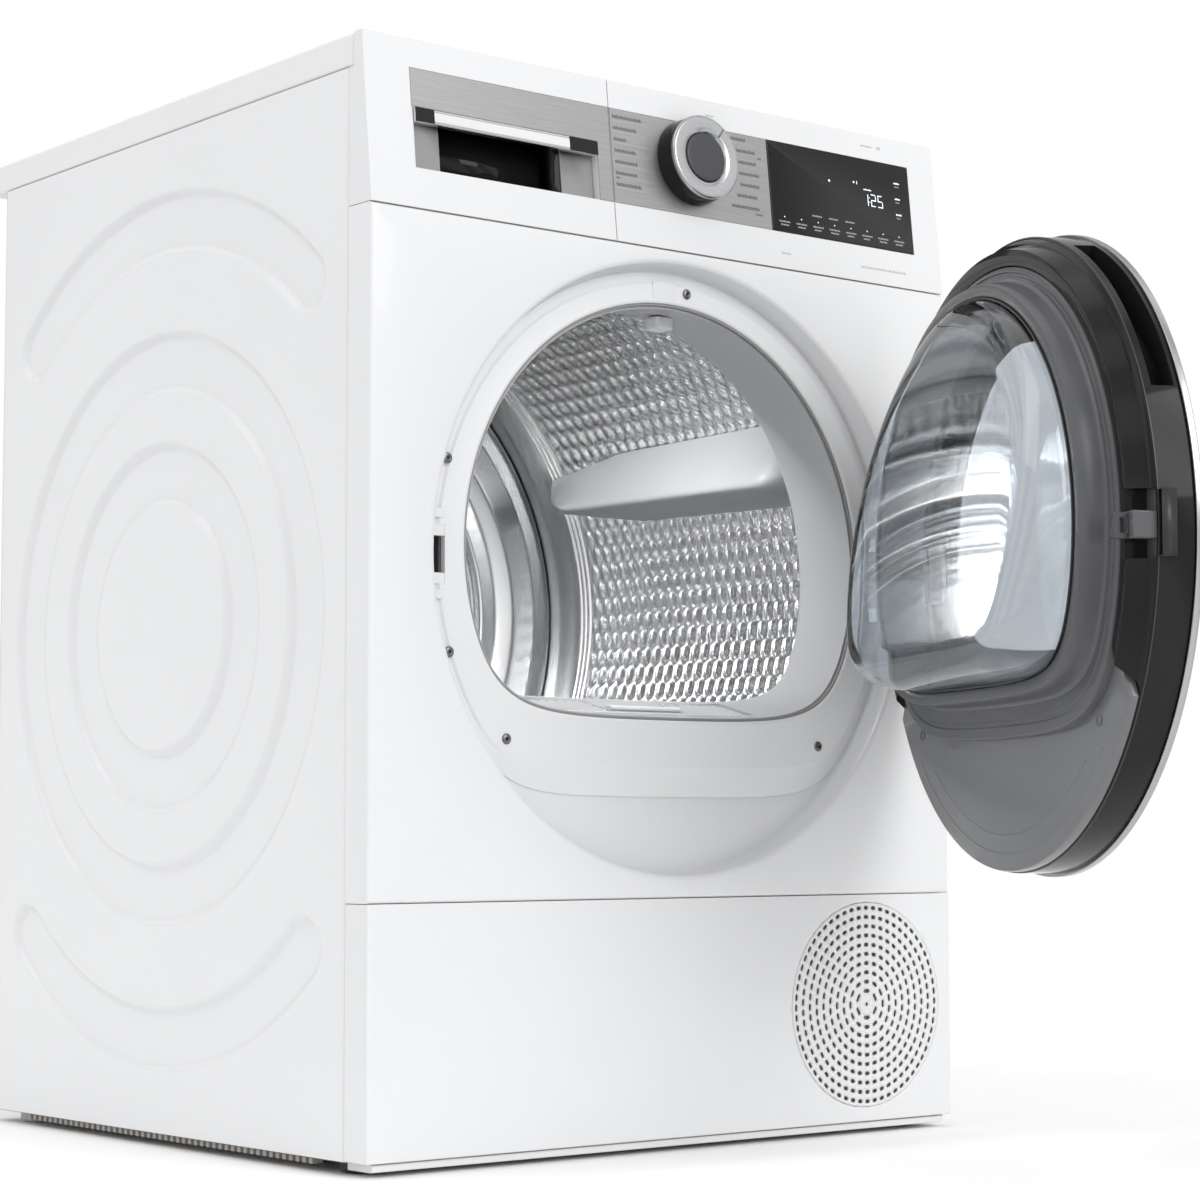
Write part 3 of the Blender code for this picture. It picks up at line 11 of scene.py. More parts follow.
import bmesh
import bpy
import numpy as np
from mathutils import Matrix, Vector


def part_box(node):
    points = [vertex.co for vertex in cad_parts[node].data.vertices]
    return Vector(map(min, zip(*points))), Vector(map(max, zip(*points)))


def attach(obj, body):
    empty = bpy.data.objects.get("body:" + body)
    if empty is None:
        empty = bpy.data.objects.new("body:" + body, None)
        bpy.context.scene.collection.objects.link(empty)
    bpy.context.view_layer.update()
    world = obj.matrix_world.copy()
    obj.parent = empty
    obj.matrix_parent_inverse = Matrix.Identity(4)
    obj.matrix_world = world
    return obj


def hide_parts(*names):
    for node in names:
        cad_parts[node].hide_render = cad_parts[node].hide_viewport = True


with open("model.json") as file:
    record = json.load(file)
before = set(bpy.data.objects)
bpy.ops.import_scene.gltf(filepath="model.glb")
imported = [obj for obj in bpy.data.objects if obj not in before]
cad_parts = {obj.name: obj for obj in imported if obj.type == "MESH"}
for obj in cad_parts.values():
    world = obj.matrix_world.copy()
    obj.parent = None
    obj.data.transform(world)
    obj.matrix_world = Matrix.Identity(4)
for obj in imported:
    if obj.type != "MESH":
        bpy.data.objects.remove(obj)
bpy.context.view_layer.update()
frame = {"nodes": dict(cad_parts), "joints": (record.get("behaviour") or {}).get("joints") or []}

# %% [markdown]
# Places start from the frame: the flat front plane, the hinge and the tilt of the control panel
# are read from its node boxes and joints. All drawing is done in millimetres, as x, depth behind
# the front and height, and only the last step turns them into metres.

# %% Planes and axes read from the frame
MM = 0.001
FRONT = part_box("plinth_panel")[0].y
JOINTS = {joint["name"]: joint for joint in frame["joints"]}
HINGE = Vector(JOINTS["door_hinge"]["pos_m"])
OPEN = -math.radians(JOINTS["door_hinge"]["range_deg"][0])
TILT = math.asin(Vector(JOINTS["knob_turn"]["axis"]).z)
PANEL_FOOT = 710.5 * MM


def back(depth):
    """Y in metres of a point this many millimetres behind the flat front."""
    return FRONT + depth * MM


def span(node):
    """The two corners of a frame part, as x, depth and height in millimetres."""
    return [(corner.x / MM, (corner.y - FRONT) / MM, corner.z / MM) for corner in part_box(node)]


def angles_of(count, start=0.0, sweep=math.tau):
    """Even angles round a full turn, or round a part of it."""
    return [start + sweep * k / count for k in range(count)]


def polar(centre, radius, angle):
    return centre[0] + radius * math.cos(angle), centre[1] + radius * math.sin(angle)


DOOR_TURN = (Matrix.Translation((HINGE.x, HINGE.y, 0)) @ Matrix.Rotation(OPEN, 4, "Z")
             @ Matrix.Translation((-HINGE.x, -HINGE.y, 0)))
PANEL_PLANE = Matrix.Translation((0, FRONT, PANEL_FOOT)) @ Matrix.Rotation(-TILT, 4, "X")
HERE = Matrix.Identity(4)
print(f"front {FRONT:.4f} m, door {math.degrees(OPEN):.1f} deg, tilt {math.degrees(TILT):.2f} deg")

# %% [markdown]
# One pattern is needed by many finishes: the fine unevenness of paint and moulded plastic. It is
# built once as a node group with a size for its grain. The group gives a slow mask, which shifts
# colour and gloss a little, and a fine height for the Bump node of each material.

# %% Node group: cast_grain
def add(tree, kind, inputs=(), **settings):
    """A node: settings are its own, inputs are plain values or the outputs of other nodes."""
    node = tree.nodes.new(kind)
    for label, value in settings.items():
        setattr(node, label, value)
    for label, value in dict(inputs).items():
        if isinstance(value, bpy.types.NodeSocket):
            tree.links.new(value, node.inputs[label])
        else:
            node.inputs[label].default_value = value
    return node


def new_group(name, inputs, first):
    """A shader group with its sockets, its two end nodes and the object's coordinate."""
    tree = bpy.data.node_groups.new(name, "ShaderNodeTree")
    for label, value in inputs.items():
        socket = tree.interface.new_socket(label, in_out="INPUT", socket_type="NodeSocketFloat")
        socket.default_value = value
    for label in (first, "Height"):
        tree.interface.new_socket(label, in_out="OUTPUT", socket_type="NodeSocketFloat")
    return (tree, add(tree, "NodeGroupInput").outputs, add(tree, "NodeGroupOutput").inputs,
            add(tree, "ShaderNodeTexCoord").outputs["Object"])


def noise(tree, vector, scale, detail=3.0, rough=0.5):
    """The output of a noise node; scale is a number or another node's output."""
    return add(tree, "ShaderNodeTexNoise", {"Detail": detail, "Roughness": rough,
                                            "Vector": vector, "Scale": scale}).outputs[0]


tree, given, result, place = new_group("cast_grain", {"Grain": 700.0, "Clouding": 9.0}, "Mask")
tree.links.new(noise(tree, place, given["Clouding"], 4.0), result["Mask"])
tree.links.new(noise(tree, place, given["Grain"], 2.0), result["Height"])
print("group:", tree.name)

# %% [markdown]
# Rolled and brushed metal has fine parallel lines. The second group stretches a noise along one
# direction by squeezing the coordinate, which is what a grinding belt does to steel. Its Along
# input says how much longer than wide a scratch is.

# %% Node group: brushed_lines
tree, given, result, place = new_group("brushed_lines", {"Fineness": 900.0, "Along": 0.03}, "Lines")
squeeze = add(tree, "ShaderNodeCombineXYZ", {"X": given["Along"], "Y": 1.0, "Z": 1.0})
stretched = add(tree, "ShaderNodeVectorMath", {0: place, 1: squeeze.outputs[0]},
                operation="MULTIPLY")
streaks = noise(tree, stretched.outputs[0], given["Fineness"], 5.0, 0.65)
for label in ("Lines", "Height"):
    tree.links.new(streaks, result[label])
print("group:", tree.name)

# %% [markdown]
# Hot-dip galvanised sheet shows its zinc crystals as flat patches of slightly different grey.
# A Voronoi texture gives each cell one random value, which is exactly that effect.

# %% Node group: zinc_spangle
tree, given, result, place = new_group("zinc_spangle", {"Crystals": 60.0}, "Mask")
cells = add(tree, "ShaderNodeTexVoronoi", {"Vector": place, "Scale": given["Crystals"]})
tree.links.new(cells.outputs["Color"], result["Mask"])
tree.links.new(noise(tree, place, 500.0), result["Height"])
print("group:", tree.name)

# %% [markdown]
# A finish is a Principled shader with one of those groups behind it. The mask blends two close
# colours and moves the roughness between two values, and the height goes through a Bump node.
# Whatever is the same all over, such as metalness, is typed on the shader's own socket.

# %% A helper that makes a finish
LOOKS = {}


def finish(name, colour, second, roughness, bump=0.1, group="cast_grain", depth=0.1, **values):
    """A material: two colours, two roughness values, and values for the group or the shader."""
    look = bpy.data.materials.new(name)
    look.use_nodes = True
    tree = look.node_tree
    shader = tree.nodes["Principled BSDF"]
    pattern = add(tree, "ShaderNodeGroup", node_tree=bpy.data.node_groups[group])
    for label, value in values.items():
        label = label.replace("_", " ")
        (pattern if label in pattern.inputs else shader).inputs[label].default_value = value
    mask = pattern.outputs[0]
    blend = add(tree, "ShaderNodeMix", data_type="RGBA")
    blend.inputs["A"].default_value = (*colour, 1.0)
    blend.inputs["B"].default_value = (*second, 1.0)
    tree.links.new(mask, blend.inputs["Factor"])
    spread = add(tree, "ShaderNodeMapRange", {"To Min": roughness[0], "To Max": roughness[1],
                                              "Value": mask})
    relief = add(tree, "ShaderNodeBump", {"Strength": bump, "Distance": depth * MM,
                                          "Height": pattern.outputs["Height"]})
    for label, output in (("Base Color", blend.outputs["Result"]),
                          ("Roughness", spread.outputs[0]), ("Normal", relief.outputs[0])):
        tree.links.new(output, shader.inputs[label])
    LOOKS[name] = look


print("groups for finishes:", len(bpy.data.node_groups))

# %% [markdown]
# The painted cabinet is a warm-neutral white enamel with a faint orange peel. The moulded white
# parts are a touch greyer and silkier. Both stay below full white, so light can still shape them.

# %% Whites
finish("white_enamel", (0.80, 0.805, 0.81), (0.775, 0.78, 0.785), (0.26, 0.36), 0.12,
       Grain=420, Clouding=6, Coat_Weight=0.25)
finish("white_plastic", (0.79, 0.795, 0.80), (0.76, 0.765, 0.77), (0.34, 0.46), 0.12,
       Grain=900, Clouding=11)
finish("tunnel_white", (0.46, 0.465, 0.475), (0.43, 0.435, 0.445), (0.38, 0.5), 0.15,
       Grain=900, Clouding=11)
finish("lifter_satin", (0.41, 0.415, 0.42), (0.38, 0.385, 0.39), (0.3, 0.42), 0.2,
       Grain=1300, Clouding=14)
print("whites:", list(LOOKS))

# %% [markdown]
# Dark mouldings differ mostly in gloss. The door wall is high-gloss black, its inner frame a
# dark grey with a soft sheen, and the feet and belt are dull rubber.

# %% Blacks and greys
finish("gloss_black", (0.012, 0.012, 0.013), (0.02, 0.02, 0.021), (0.04, 0.1), 0.02, Grain=300,
       IOR=1.27)
finish("black_plastic", (0.02, 0.02, 0.021), (0.03, 0.03, 0.031), (0.3, 0.45), 0.25, Grain=1500)
finish("dark_grey_plastic", (0.036, 0.037, 0.04), (0.05, 0.051, 0.054), (0.3, 0.44), 0.25,
       Grain=1300)
finish("door_grey_plastic", (0.085, 0.087, 0.091), (0.105, 0.107, 0.111), (0.24, 0.36), 0.12,
       Grain=1300)
finish("chin_grey", (0.13, 0.132, 0.137), (0.155, 0.157, 0.162), (0.16, 0.26), 0.06, Grain=1300,
       Coat_Weight=0.4, Coat_Roughness=0.08)
finish("tray_grey_plastic", (0.33, 0.31, 0.29), (0.28, 0.265, 0.245), (0.5, 0.65), 0.3, Grain=700)
finish("pocket_grey", (0.30, 0.30, 0.305), (0.27, 0.27, 0.275), (0.3, 0.4), 0.1, Grain=1100)
finish("rubber", (0.03, 0.03, 0.031), (0.045, 0.045, 0.046), (0.65, 0.85), 0.4, Grain=1200)
finish("felt", (0.42, 0.42, 0.41), (0.3, 0.3, 0.29), (0.9, 1.0), 0.9, depth=0.6, Grain=1600,
       Clouding=160, Sheen_Weight=0.4)
finish("print_grey", (0.10, 0.10, 0.105), (0.14, 0.14, 0.145), (0.5, 0.6), 0.05)
finish("faint_print", (0.42, 0.42, 0.43), (0.48, 0.48, 0.49), (0.5, 0.6), 0.05)
print("finishes so far:", len(LOOKS))

# %% [markdown]
# Metals: the drum is bright annealed stainless steel, the strip behind the controls is brushed
# along its length, the grip and the knob's ring are plated, and hidden sheets are galvanised.

# %% Metals
finish("stainless_steel", (0.68, 0.685, 0.69), (0.60, 0.605, 0.61), (0.17, 0.25), 0.03,
       Grain=260, Clouding=12, Metallic=1)
finish("chrome", (0.82, 0.82, 0.83), (0.76, 0.76, 0.77), (0.04, 0.09), 0.02, Metallic=1)
finish("brushed_steel", (0.42, 0.42, 0.425), (0.26, 0.26, 0.265), (0.34, 0.5), 0.35,
       "brushed_lines", Fineness=1100, Along=0.02, Metallic=0.85)
for name, colour, second, roughness, bump, fineness, along in (
        ("silver_ring", (0.50, 0.505, 0.51), (0.42, 0.425, 0.43), (0.2, 0.3), 0.1, 700, 0.3),
        ("machined_steel", (0.60, 0.60, 0.61), (0.5, 0.5, 0.51), (0.22, 0.35), 0.15, 900, 0.1),
        ("screw_steel", (0.22, 0.22, 0.225), (0.16, 0.16, 0.165), (0.3, 0.42), 0.15, 900, 0.1)):
    finish(name, colour, second, roughness, bump, "brushed_lines", Fineness=fineness, Along=along,
           Metallic=1)
finish("aluminium_fins", (0.62, 0.63, 0.64), (0.25, 0.25, 0.26), (0.3, 0.5), 1, "brushed_lines",
       depth=0.8, Fineness=420, Along=1.8, Metallic=0.9)
finish("galvanised_steel", (0.50, 0.51, 0.52), (0.42, 0.43, 0.44), (0.34, 0.5), 0.1,
       "zinc_spangle", Crystals=110, Metallic=0.9)
finish("circuit_board", (0.02, 0.14, 0.06), (0.03, 0.2, 0.09), (0.35, 0.5), 0.3, "zinc_spangle",
       Crystals=240)
print("finishes so far:", len(LOOKS))

# %% [markdown]
# Glass keeps a plain transmission weight, and only its thin unevenness comes from the group. The
# bowl is clear with a cool edge, the middle of the outer pane is smoked, and the display and the
# pane's border are black behind a polished surface. Lit segments give a little light of their own.

# %% Glass and light
finish("bowl_glass", (0.86, 0.91, 0.95), (0.82, 0.88, 0.93), (0.0, 0.02), 0.03, depth=0.3,
       Grain=22, Clouding=5, Transmission_Weight=1, IOR=1.5)
finish("smoked_glass", (0.62, 0.64, 0.66), (0.58, 0.6, 0.62), (0.0, 0.02), 0,
       Transmission_Weight=1, IOR=1.45)
finish("black_glass", (0.008, 0.008, 0.009), (0.014, 0.014, 0.015), (0.02, 0.06), 0.01, Grain=60,
       IOR=1.4)
finish("lit_mark", (0.75, 0.78, 0.8), (0.7, 0.73, 0.75), (0.4, 0.5), 0,
       Emission_Color=(0.85, 0.93, 1, 1), Emission_Strength=0.75)
finish("dim_mark", (0.30, 0.31, 0.32), (0.26, 0.27, 0.28), (0.4, 0.5), 0,
       Emission_Color=(0.75, 0.8, 0.85, 1), Emission_Strength=0.12)
print("finishes in all:", len(LOOKS))

# %% [markdown]
# Every new piece goes through one helper: it makes the mesh, turns the faces outwards, marks
# edges sharper than the given angle, moves the piece into place, hangs it on its body and hides
# the parts of the frame it stands for. That keeps each later cell to the shape itself.

# %% Helper: put a piece on the dryer
def solid(points, faces, at=HERE):
    """A bmesh with its faces outwards. On the panel's plane depth counts from that plane."""
    start = 0 if at is PANEL_PLANE else FRONT
    bm = bmesh.new()
    made = [bm.verts.new((x * MM, start + depth * MM, z * MM)) for x, depth, z in points]
    for face in faces:
        bm.faces.new([made[index] for index in face])
    bmesh.ops.recalc_face_normals(bm, faces=bm.faces)
    return bm


def object_of(name, bm, at=HERE, sharp=32):
    """The bmesh as a shaded object in the scene."""
    mesh = bpy.data.meshes.new(name)
    bm.to_mesh(mesh)
    bm.free()
    mesh.shade_smooth()
    mesh.set_sharp_from_angle(angle=math.radians(sharp))
    made = bpy.data.objects.new(name, mesh)
    bpy.context.collection.objects.link(made)
    made.matrix_world = at
    return made


def put_bmesh(name, bm, look, body="cabinet", stands_for=(), at=HERE, sharp=32, slot=None,
              bevel=0.0, segments=2, wall=0.0):
    """Finish a bmesh, round or thicken it, and hang it on its body."""
    piece = object_of(name, bm, at, sharp)
    piece.data.materials.append(LOOKS[look])
    if wall:
        thick = piece.modifiers.new("sheet", "SOLIDIFY")
        thick.thickness = wall * MM
        thick.offset = -1.0
    if bevel:
        soft = piece.modifiers.new("rounding", "BEVEL")
        soft.width = bevel * MM
        soft.segments = segments
        soft.limit_method = "ANGLE"
        soft.angle_limit = math.radians(30)
    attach(piece, body)
    if stands_for:
        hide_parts(*stands_for)
    return piece


def put(name, shape, look, body="cabinet", stands_for=(), at=HERE, **more):
    """The same for a shape of points and faces in millimetres."""
    return put_bmesh(name, solid(*shape, at), look, body, stands_for, at, **more)


# %% [markdown]
# Three ways of drawing cover most parts. A loft joins rings of points, a spin turns a profile
# round an axis, and a prism draws a flat outline out. Working with lists of points instead of
# ready-made primitives lets the curves have as many steps as the eye needs.

# %% Helpers: loft, spin, prism and block
def loft(rings, closed=True, ends=False):
    """Points and faces that join rings in order; closed also joins the last to the first."""
    count = len(rings[0])
    faces = []
    for row in range(len(rings) if closed else len(rings) - 1):
        low, high = row * count, (row + 1) % len(rings) * count
        for k in range(count):
            n = (k + 1) % count
            faces.append((low + k, low + n, high + n, high + k))
    if ends:
        faces += [tuple(range(count)), tuple(range((len(rings) - 1) * count, len(rings) * count))]
    return [point for ring in rings for point in ring], faces


def spin(profile, centre, steps=160, closed=False):
    """A (radius, depth) profile turned round an axis; zero radii become single points."""
    points, rows, faces = [], [], []
    for radius, depth in profile:
        if radius < 1e-4:
            rows.append([len(points)] * steps)
            points.append((centre[0], depth, centre[1]))
            continue
        rows.append(list(range(len(points), len(points) + steps)))
        for angle in angles_of(steps):
            x, z = polar(centre, radius, angle)
            points.append((x, depth, z))
    for first, second in list(zip(rows, rows[1:])) + ([(rows[-1], rows[0])] if closed else []):
        for k in range(steps):
            n = (k + 1) % steps
            face = tuple(dict.fromkeys((first[k], first[n], second[n], second[k])))
            if len(face) > 2:
                faces.append(face)
    return points, faces


def prism(outline, low, high, axis="Y"):
    """An outline of (a, b) points drawn from low to high along an axis."""
    order = {"X": lambda a, b, c: (c, a, b), "Y": lambda a, b, c: (a, c, b),
             "Z": lambda a, b, c: (a, b, c)}[axis]
    rings = [[order(a, b, c) for a, b in outline] for c in (low, high)]
    return loft(rings, closed=False, ends=True)


def block(x, depth, z):
    """A box between a low and a high value each way."""
    return prism([(x[0], z[0]), (x[1], z[0]), (x[1], z[1]), (x[0], z[1])], *depth)


def together(parts):
    """Several sets of points and faces as one."""
    points, faces = [], []
    for some, many in parts:
        faces += [tuple(index + len(points) for index in face) for face in many]
        points += list(some)
    return points, faces


print("drawing helpers: loft, spin, prism, block, together")

# %% [markdown]
# Turned and lofted corners look sharp as knives unless they are rounded. This helper replaces
# each corner of a profile by a short arc, as a fillet does on a drawing.

# %% Helper: fillets on a profile
def filleted(profile, radius, steps=4, closed=False):
    """The profile with each corner rounded as far as its two sides allow."""
    result = []
    count = len(profile)
    for k, point in enumerate(profile):
        if not closed and k in (0, count - 1):
            result.append(point)
            continue
        here = Vector(point)
        before, after = Vector(profile[k - 1]) - here, Vector(profile[(k + 1) % count]) - here
        reach = min(radius, before.length * 0.45, after.length * 0.45)
        start, end = here + before.normalized() * reach, here + after.normalized() * reach
        for n in range(steps + 1):
            t = n / steps
            result.append(tuple(start * (1 - t) ** 2 + here * 2 * t * (1 - t) + end * t * t))
    return result


def rounded_box(low, high, radius, steps=4):
    """The outline of a rectangle with round corners, as (a, b) points."""
    corners = [(low[0], low[1]), (high[0], low[1]), (high[0], high[1]), (low[0], high[1])]
    return filleted(corners, radius, steps, closed=True)


print("profile helpers ready")

# %% [markdown]
# Many parts of the frame already have the right shape and only lack the tiny radii that catch
# the light. The first helper copies such a part, clears away the triangles that lie flat, and
# adds a Bevel modifier. The second cuts other shapes from a piece, or joins them to it.

# %% Helpers: soften a part of the frame, and carve a piece
def soften(node, look, body="cabinet", width=0.8, segments=2, slot=None):
    """A copy of a frame part with rounded edges, which stands for the original."""
    source = frame["nodes"][node].data
    bm = bmesh.new()
    made = [bm.verts.new(v.co) for v in source.vertices]
    bm.verts.ensure_lookup_table()
    for polygon in source.polygons:
        corners = [made[index] for index in polygon.vertices]
        if bm.faces.get(corners) is None:
            bm.faces.new(corners)
    bmesh.ops.remove_doubles(bm, verts=bm.verts, dist=1e-6)
    bmesh.ops.dissolve_limit(bm, angle_limit=math.radians(0.6), verts=bm.verts, edges=bm.edges)
    return put_bmesh(f"{node}_finished", bm, look, body, (node,), slot=slot, bevel=width,
                     segments=segments)


def carve(piece, cutters, operation="DIFFERENCE"):
    """Cut shapes from a piece, or join them to it, and keep only the result."""
    for cutter in cutters:
        guide = object_of("guide", solid(*cutter), piece.matrix_world)
        change = piece.modifiers.new("carve", "BOOLEAN")
        change.operation = operation
        change.object = guide
        bpy.context.view_layer.update()
        result = bpy.data.meshes.new_from_object(piece.evaluated_get(
            bpy.context.evaluated_depsgraph_get()))
        piece.modifiers.remove(change)
        piece.data = result
        bpy.data.objects.remove(guide)
    piece.data.shade_smooth()
    piece.data.set_sharp_from_angle(angle=math.radians(32))


print("softening and carving helpers ready")

# %% [markdown]
# ## The pressed side panels
# Each side of the cabinet is one steel sheet. Round grooves are pressed into it, because a flat
# sheet this large would drum. The grooves lie round a point near its middle: two full rings, and
# an arc above and below. The sheet is a fine grid whose points are pushed in where the distance
# to a groove's centre line is small, so the relief also shows in profile.

# %% Pressed side panels
HALF = span("side_panel_right")[1][0]
GROOVE_CENTRE = (298.5, 412.4)
RINGS = ((124.4, 22.4), (214.7, 22))
ARC_RADIUS, ARC_HALF, ARC_SPREAD = 329, 22.4, math.radians(40.3)
PRESS, SHOULDER = 4.6, 5.5


def groove_depth(depths, z):
    """How far the sheet is pressed in at one height; depths is an array."""
    across, up = depths - GROOVE_CENTRE[0], z - GROOVE_CENTRE[1]
    reach = np.hypot(across, up)
    inside = [half - np.abs(reach - radius) for radius, half in RINGS]
    for way in (-1, 1):
        nearest = np.clip(np.arctan2(across, way * up), -ARC_SPREAD, ARC_SPREAD)
        inside.append(ARC_HALF - np.hypot(across - ARC_RADIUS * np.sin(nearest),
                                          up - way * ARC_RADIUS * np.cos(nearest)))
    share = np.clip(np.max(inside, axis=0) / SHOULDER + 0.5, 0, 1)
    return PRESS * share * share * (3 - 2 * share)


def make_side(name, side):
    (_, front, low), (_, rear, high) = span(name)
    flange = [(HALF - 15, front), (HALF - 1.6, front), (HALF - 0.5, front + 0.4),
              (HALF, front + 1.5)]
    back_flange = [(HALF, rear - 1.5), (HALF - 0.5, rear - 0.4), (HALF - 1.6, rear),
                   (HALF - 20, rear)]
    sheet = [(HALF, y) for y in np.linspace(front + 1.5, rear - 1.5, 240)[1:-1]]
    section = flange + sheet + back_flange
    depths = np.array([depth for _, depth in section])
    heights = np.linspace(low, high, 350)
    points, count = [], len(section)
    for z in heights:
        pressed = groove_depth(depths, z)
        pressed[:len(flange)] = pressed[-len(back_flange):] = 0
        points += [(side * (x - inward), y, z) for (x, y), inward in zip(section, pressed)]
    faces = [(a, a + 1, a + count + 1, a + count) for row in range(len(heights) - 1)
             for a in range(row * count, row * count + count - 1)]
    return put(f"{name}_pressed", (points, faces), "white_enamel", stands_for=(name,), sharp=60)


for name, side in (("side_panel_left", -1), ("side_panel_right", 1)):
    panel = make_side(name, side)
    print(panel.name, "points:", len(panel.data.vertices))

# %% [markdown]
# ## Worktop
# The top is a laminated board with a moulded rim. Its shape is already in the frame, so it is
# softened: a radius runs round the upper edge, which shows as a thin highlight.

# %% Worktop
soften("worktop", "white_enamel", width=2.6, segments=4)
print("worktop softened")

# %% [markdown]
# ## Front panel with its round dish
# The door sits in a shallow dish drawn into the front sheet. A loft makes this in one skin: rings
# with the same number of points run from the hole over the dish wall and its rolled lip, spread
# out to the panel's rectangle, and wrap back round the sides. Angles that hit the corners exactly
# are mixed into the even ones, so the corners stay square.

# %% Front panel
DISH = Vector((3, 456.5))
LATCH_SLOT = block((-231.5, -220), (5, 30), (432.5, 477.5))


def circle(radius, depth, angles):
    return [(x, depth, z) for x, z in (polar(DISH, radius, a) for a in angles)]


def frame_ring(low, high, depth, angles, centre=DISH):
    """Points on a rectangle at the given angles from the centre."""
    ring = []
    for a in angles:
        c, s = math.cos(a), math.sin(a)
        reach = min(((high[0] if c > 0 else low[0]) - centre.x) / c if abs(c) > 1e-9 else 9e3,
                    ((high[1] if s > 0 else low[1]) - centre.y) / s if abs(s) > 1e-9 else 9e3)
        ring.append((centre.x + reach * c, depth, centre.y + reach * s))
    return ring


def make_front():
    low, high = [(x, z) for x, _, z in span("front_panel")]
    corners = [math.atan2(z - DISH.y, x - DISH.x) % math.tau for x in (low[0], high[0])
               for z in (low[1], high[1])]
    angles = sorted(set(angles_of(256) + corners))

    def edge(inset, depth):
        return frame_ring((low[0] + inset, low[1] + inset), (high[0] - inset, high[1] - inset),
                          depth, angles)

    def foot(inset, depth):
        """The inner edge: a circle, cut level under the bezel's foot."""
        level = DISH.y - (287 - inset)
        return [(x, depth, z) for x, z in
                (polar(DISH, min(216 + inset, level / max(-math.sin(a), 1e-6)), a) for a in angles)]

    dish = [(237.5, 18.8), (240.2, 18.2), (242, 16.8), (242.8, 14.8), (243, 12), (243.1, 3.2),
            (243.6, 1.5), (244.8, 0.45), (246.6, 0.05), (248, 0)]
    rim = [(3.2, 0), (1.8, 0.25), (0.8, 0.9), (0.2, 2), (0, 3.4), (0, 29.2), (2.5, 29.2),
           (2.5, 3.2), (4.5, 2.5)]
    inner_skin = [(250, 2.5), (246, 4), (246, 20.6)]
    rings = [foot(*place) for place in ((0, 20.6), (0, 19.0), (0.4, 18.8))]
    rings += [circle(radius, depth, angles) for radius, depth in dish]
    rings += [edge(*place) for place in rim]
    rings += [circle(radius, depth, angles) for radius, depth in inner_skin]
    return put("front_panel_pressed", loft(rings), "white_enamel", stands_for=("front_panel",))


front = make_front()
carve(front, [LATCH_SLOT])
print("front panel points:", len(front.data.vertices))

# %% [markdown]
# ## The bezel round the loading opening
# A flat moulded ring screws into the dish. Its outside is a circle cut level at the bottom, and
# its opening is a D. One function gives D-shaped rings at even angles, so any two of them can be
# lofted together. A step along the foot and a rolled edge at the opening give the bright lines.

# %% D-shaped rings and the bezel
HUB = 462
BEZEL_FACE = 15.5


def dee(radius, centre_z, flat_z, depth, slope=None, soft=8):
    """A circle cut off below by a level line, with rounded corners."""
    ring = []
    offset = centre_z - HUB
    for angle in angles_of(256):
        sine, cosine = math.sin(angle), math.cos(angle)
        reach = offset * sine + math.sqrt(radius ** 2 - (offset * cosine) ** 2)
        if flat_z is not None and sine < -1e-6:
            level = (HUB - flat_z) / -sine
            reach = (reach ** -soft + level ** -soft) ** (-1 / soft)
        z = HUB + reach * sine
        ring.append((DISH.x + reach * cosine, depth + (slope(z) if slope else 0), z))
    return ring


def dees(rows, soft=8):
    """One D-shaped ring for each (radius, centre, level, depth)."""
    return [dee(*row, soft=soft) for row in rows]


rings = dees([(238.5 - inset, 456.5, 275 + inset, depth) for inset, depth in
              ((0.6, 18.5), (0, 18.3), (0.2, 17.9), (1, 17.6))]
             + [(230.5, 456.5, 294, 17.5), (228.6, 456.5, 298, 15.7),
                (227.4, 456.5, 299.6, BEZEL_FACE)], soft=16)
rings += dees([(204.8 - inset, 465, 335.4 + inset, depth) for inset, depth in
               ((-4.2, BEZEL_FACE), (-3.4, 15.1), (-2.4, 14.9), (-1.2, 15.1), (-0.3, 15.8),
                (0, 16.8), (0, 18.4))])
bezel = put("door_bezel_moulded", loft(rings), "white_plastic", stands_for=("door_bezel",))
carve(bezel, [LATCH_SLOT])
print("bezel points:", len(bezel.data.vertices))

# %% [markdown]
# Small things make the bezel believable: five screws with a hollow drive, a blind cover beside
# the top screw, the latch slot's frame, and the seal, a thin dark line round the opening.

# %% Screws, cover, seal and latch frame
def screw(name, x, z, depth, radius=4.2, body="cabinet", at=HERE, look="screw_steel"):
    """A flat-headed screw with a round hollow in its head, and a dark star in it as painted shade
    of its drive.
    """
    head = [(0, -0.2), (0.32, -0.2), (0.36, -1.5), (0.52, -1.7), (0.86, -1.2), (1, -0.4), (1, 0.2)]
    profile = [(radius * share, depth + rise) for share, rise in head]
    put(name, spin(profile, (x, z), steps=32), look, body, at=at, slot="galvanised_steel")
    # The drive's dark star is painted shade: a black star fills the recess, which on a steel screw
    # is dark only from shade.
    star = [polar((x, z), 1.25 + 0.22 * math.cos(6 * angle), angle) for angle in angles_of(36)]
    put(name.replace("screw", "screw_drive"), prism(star, depth - 0.9, depth - 0.3),
        "black_plastic", body, at=at)


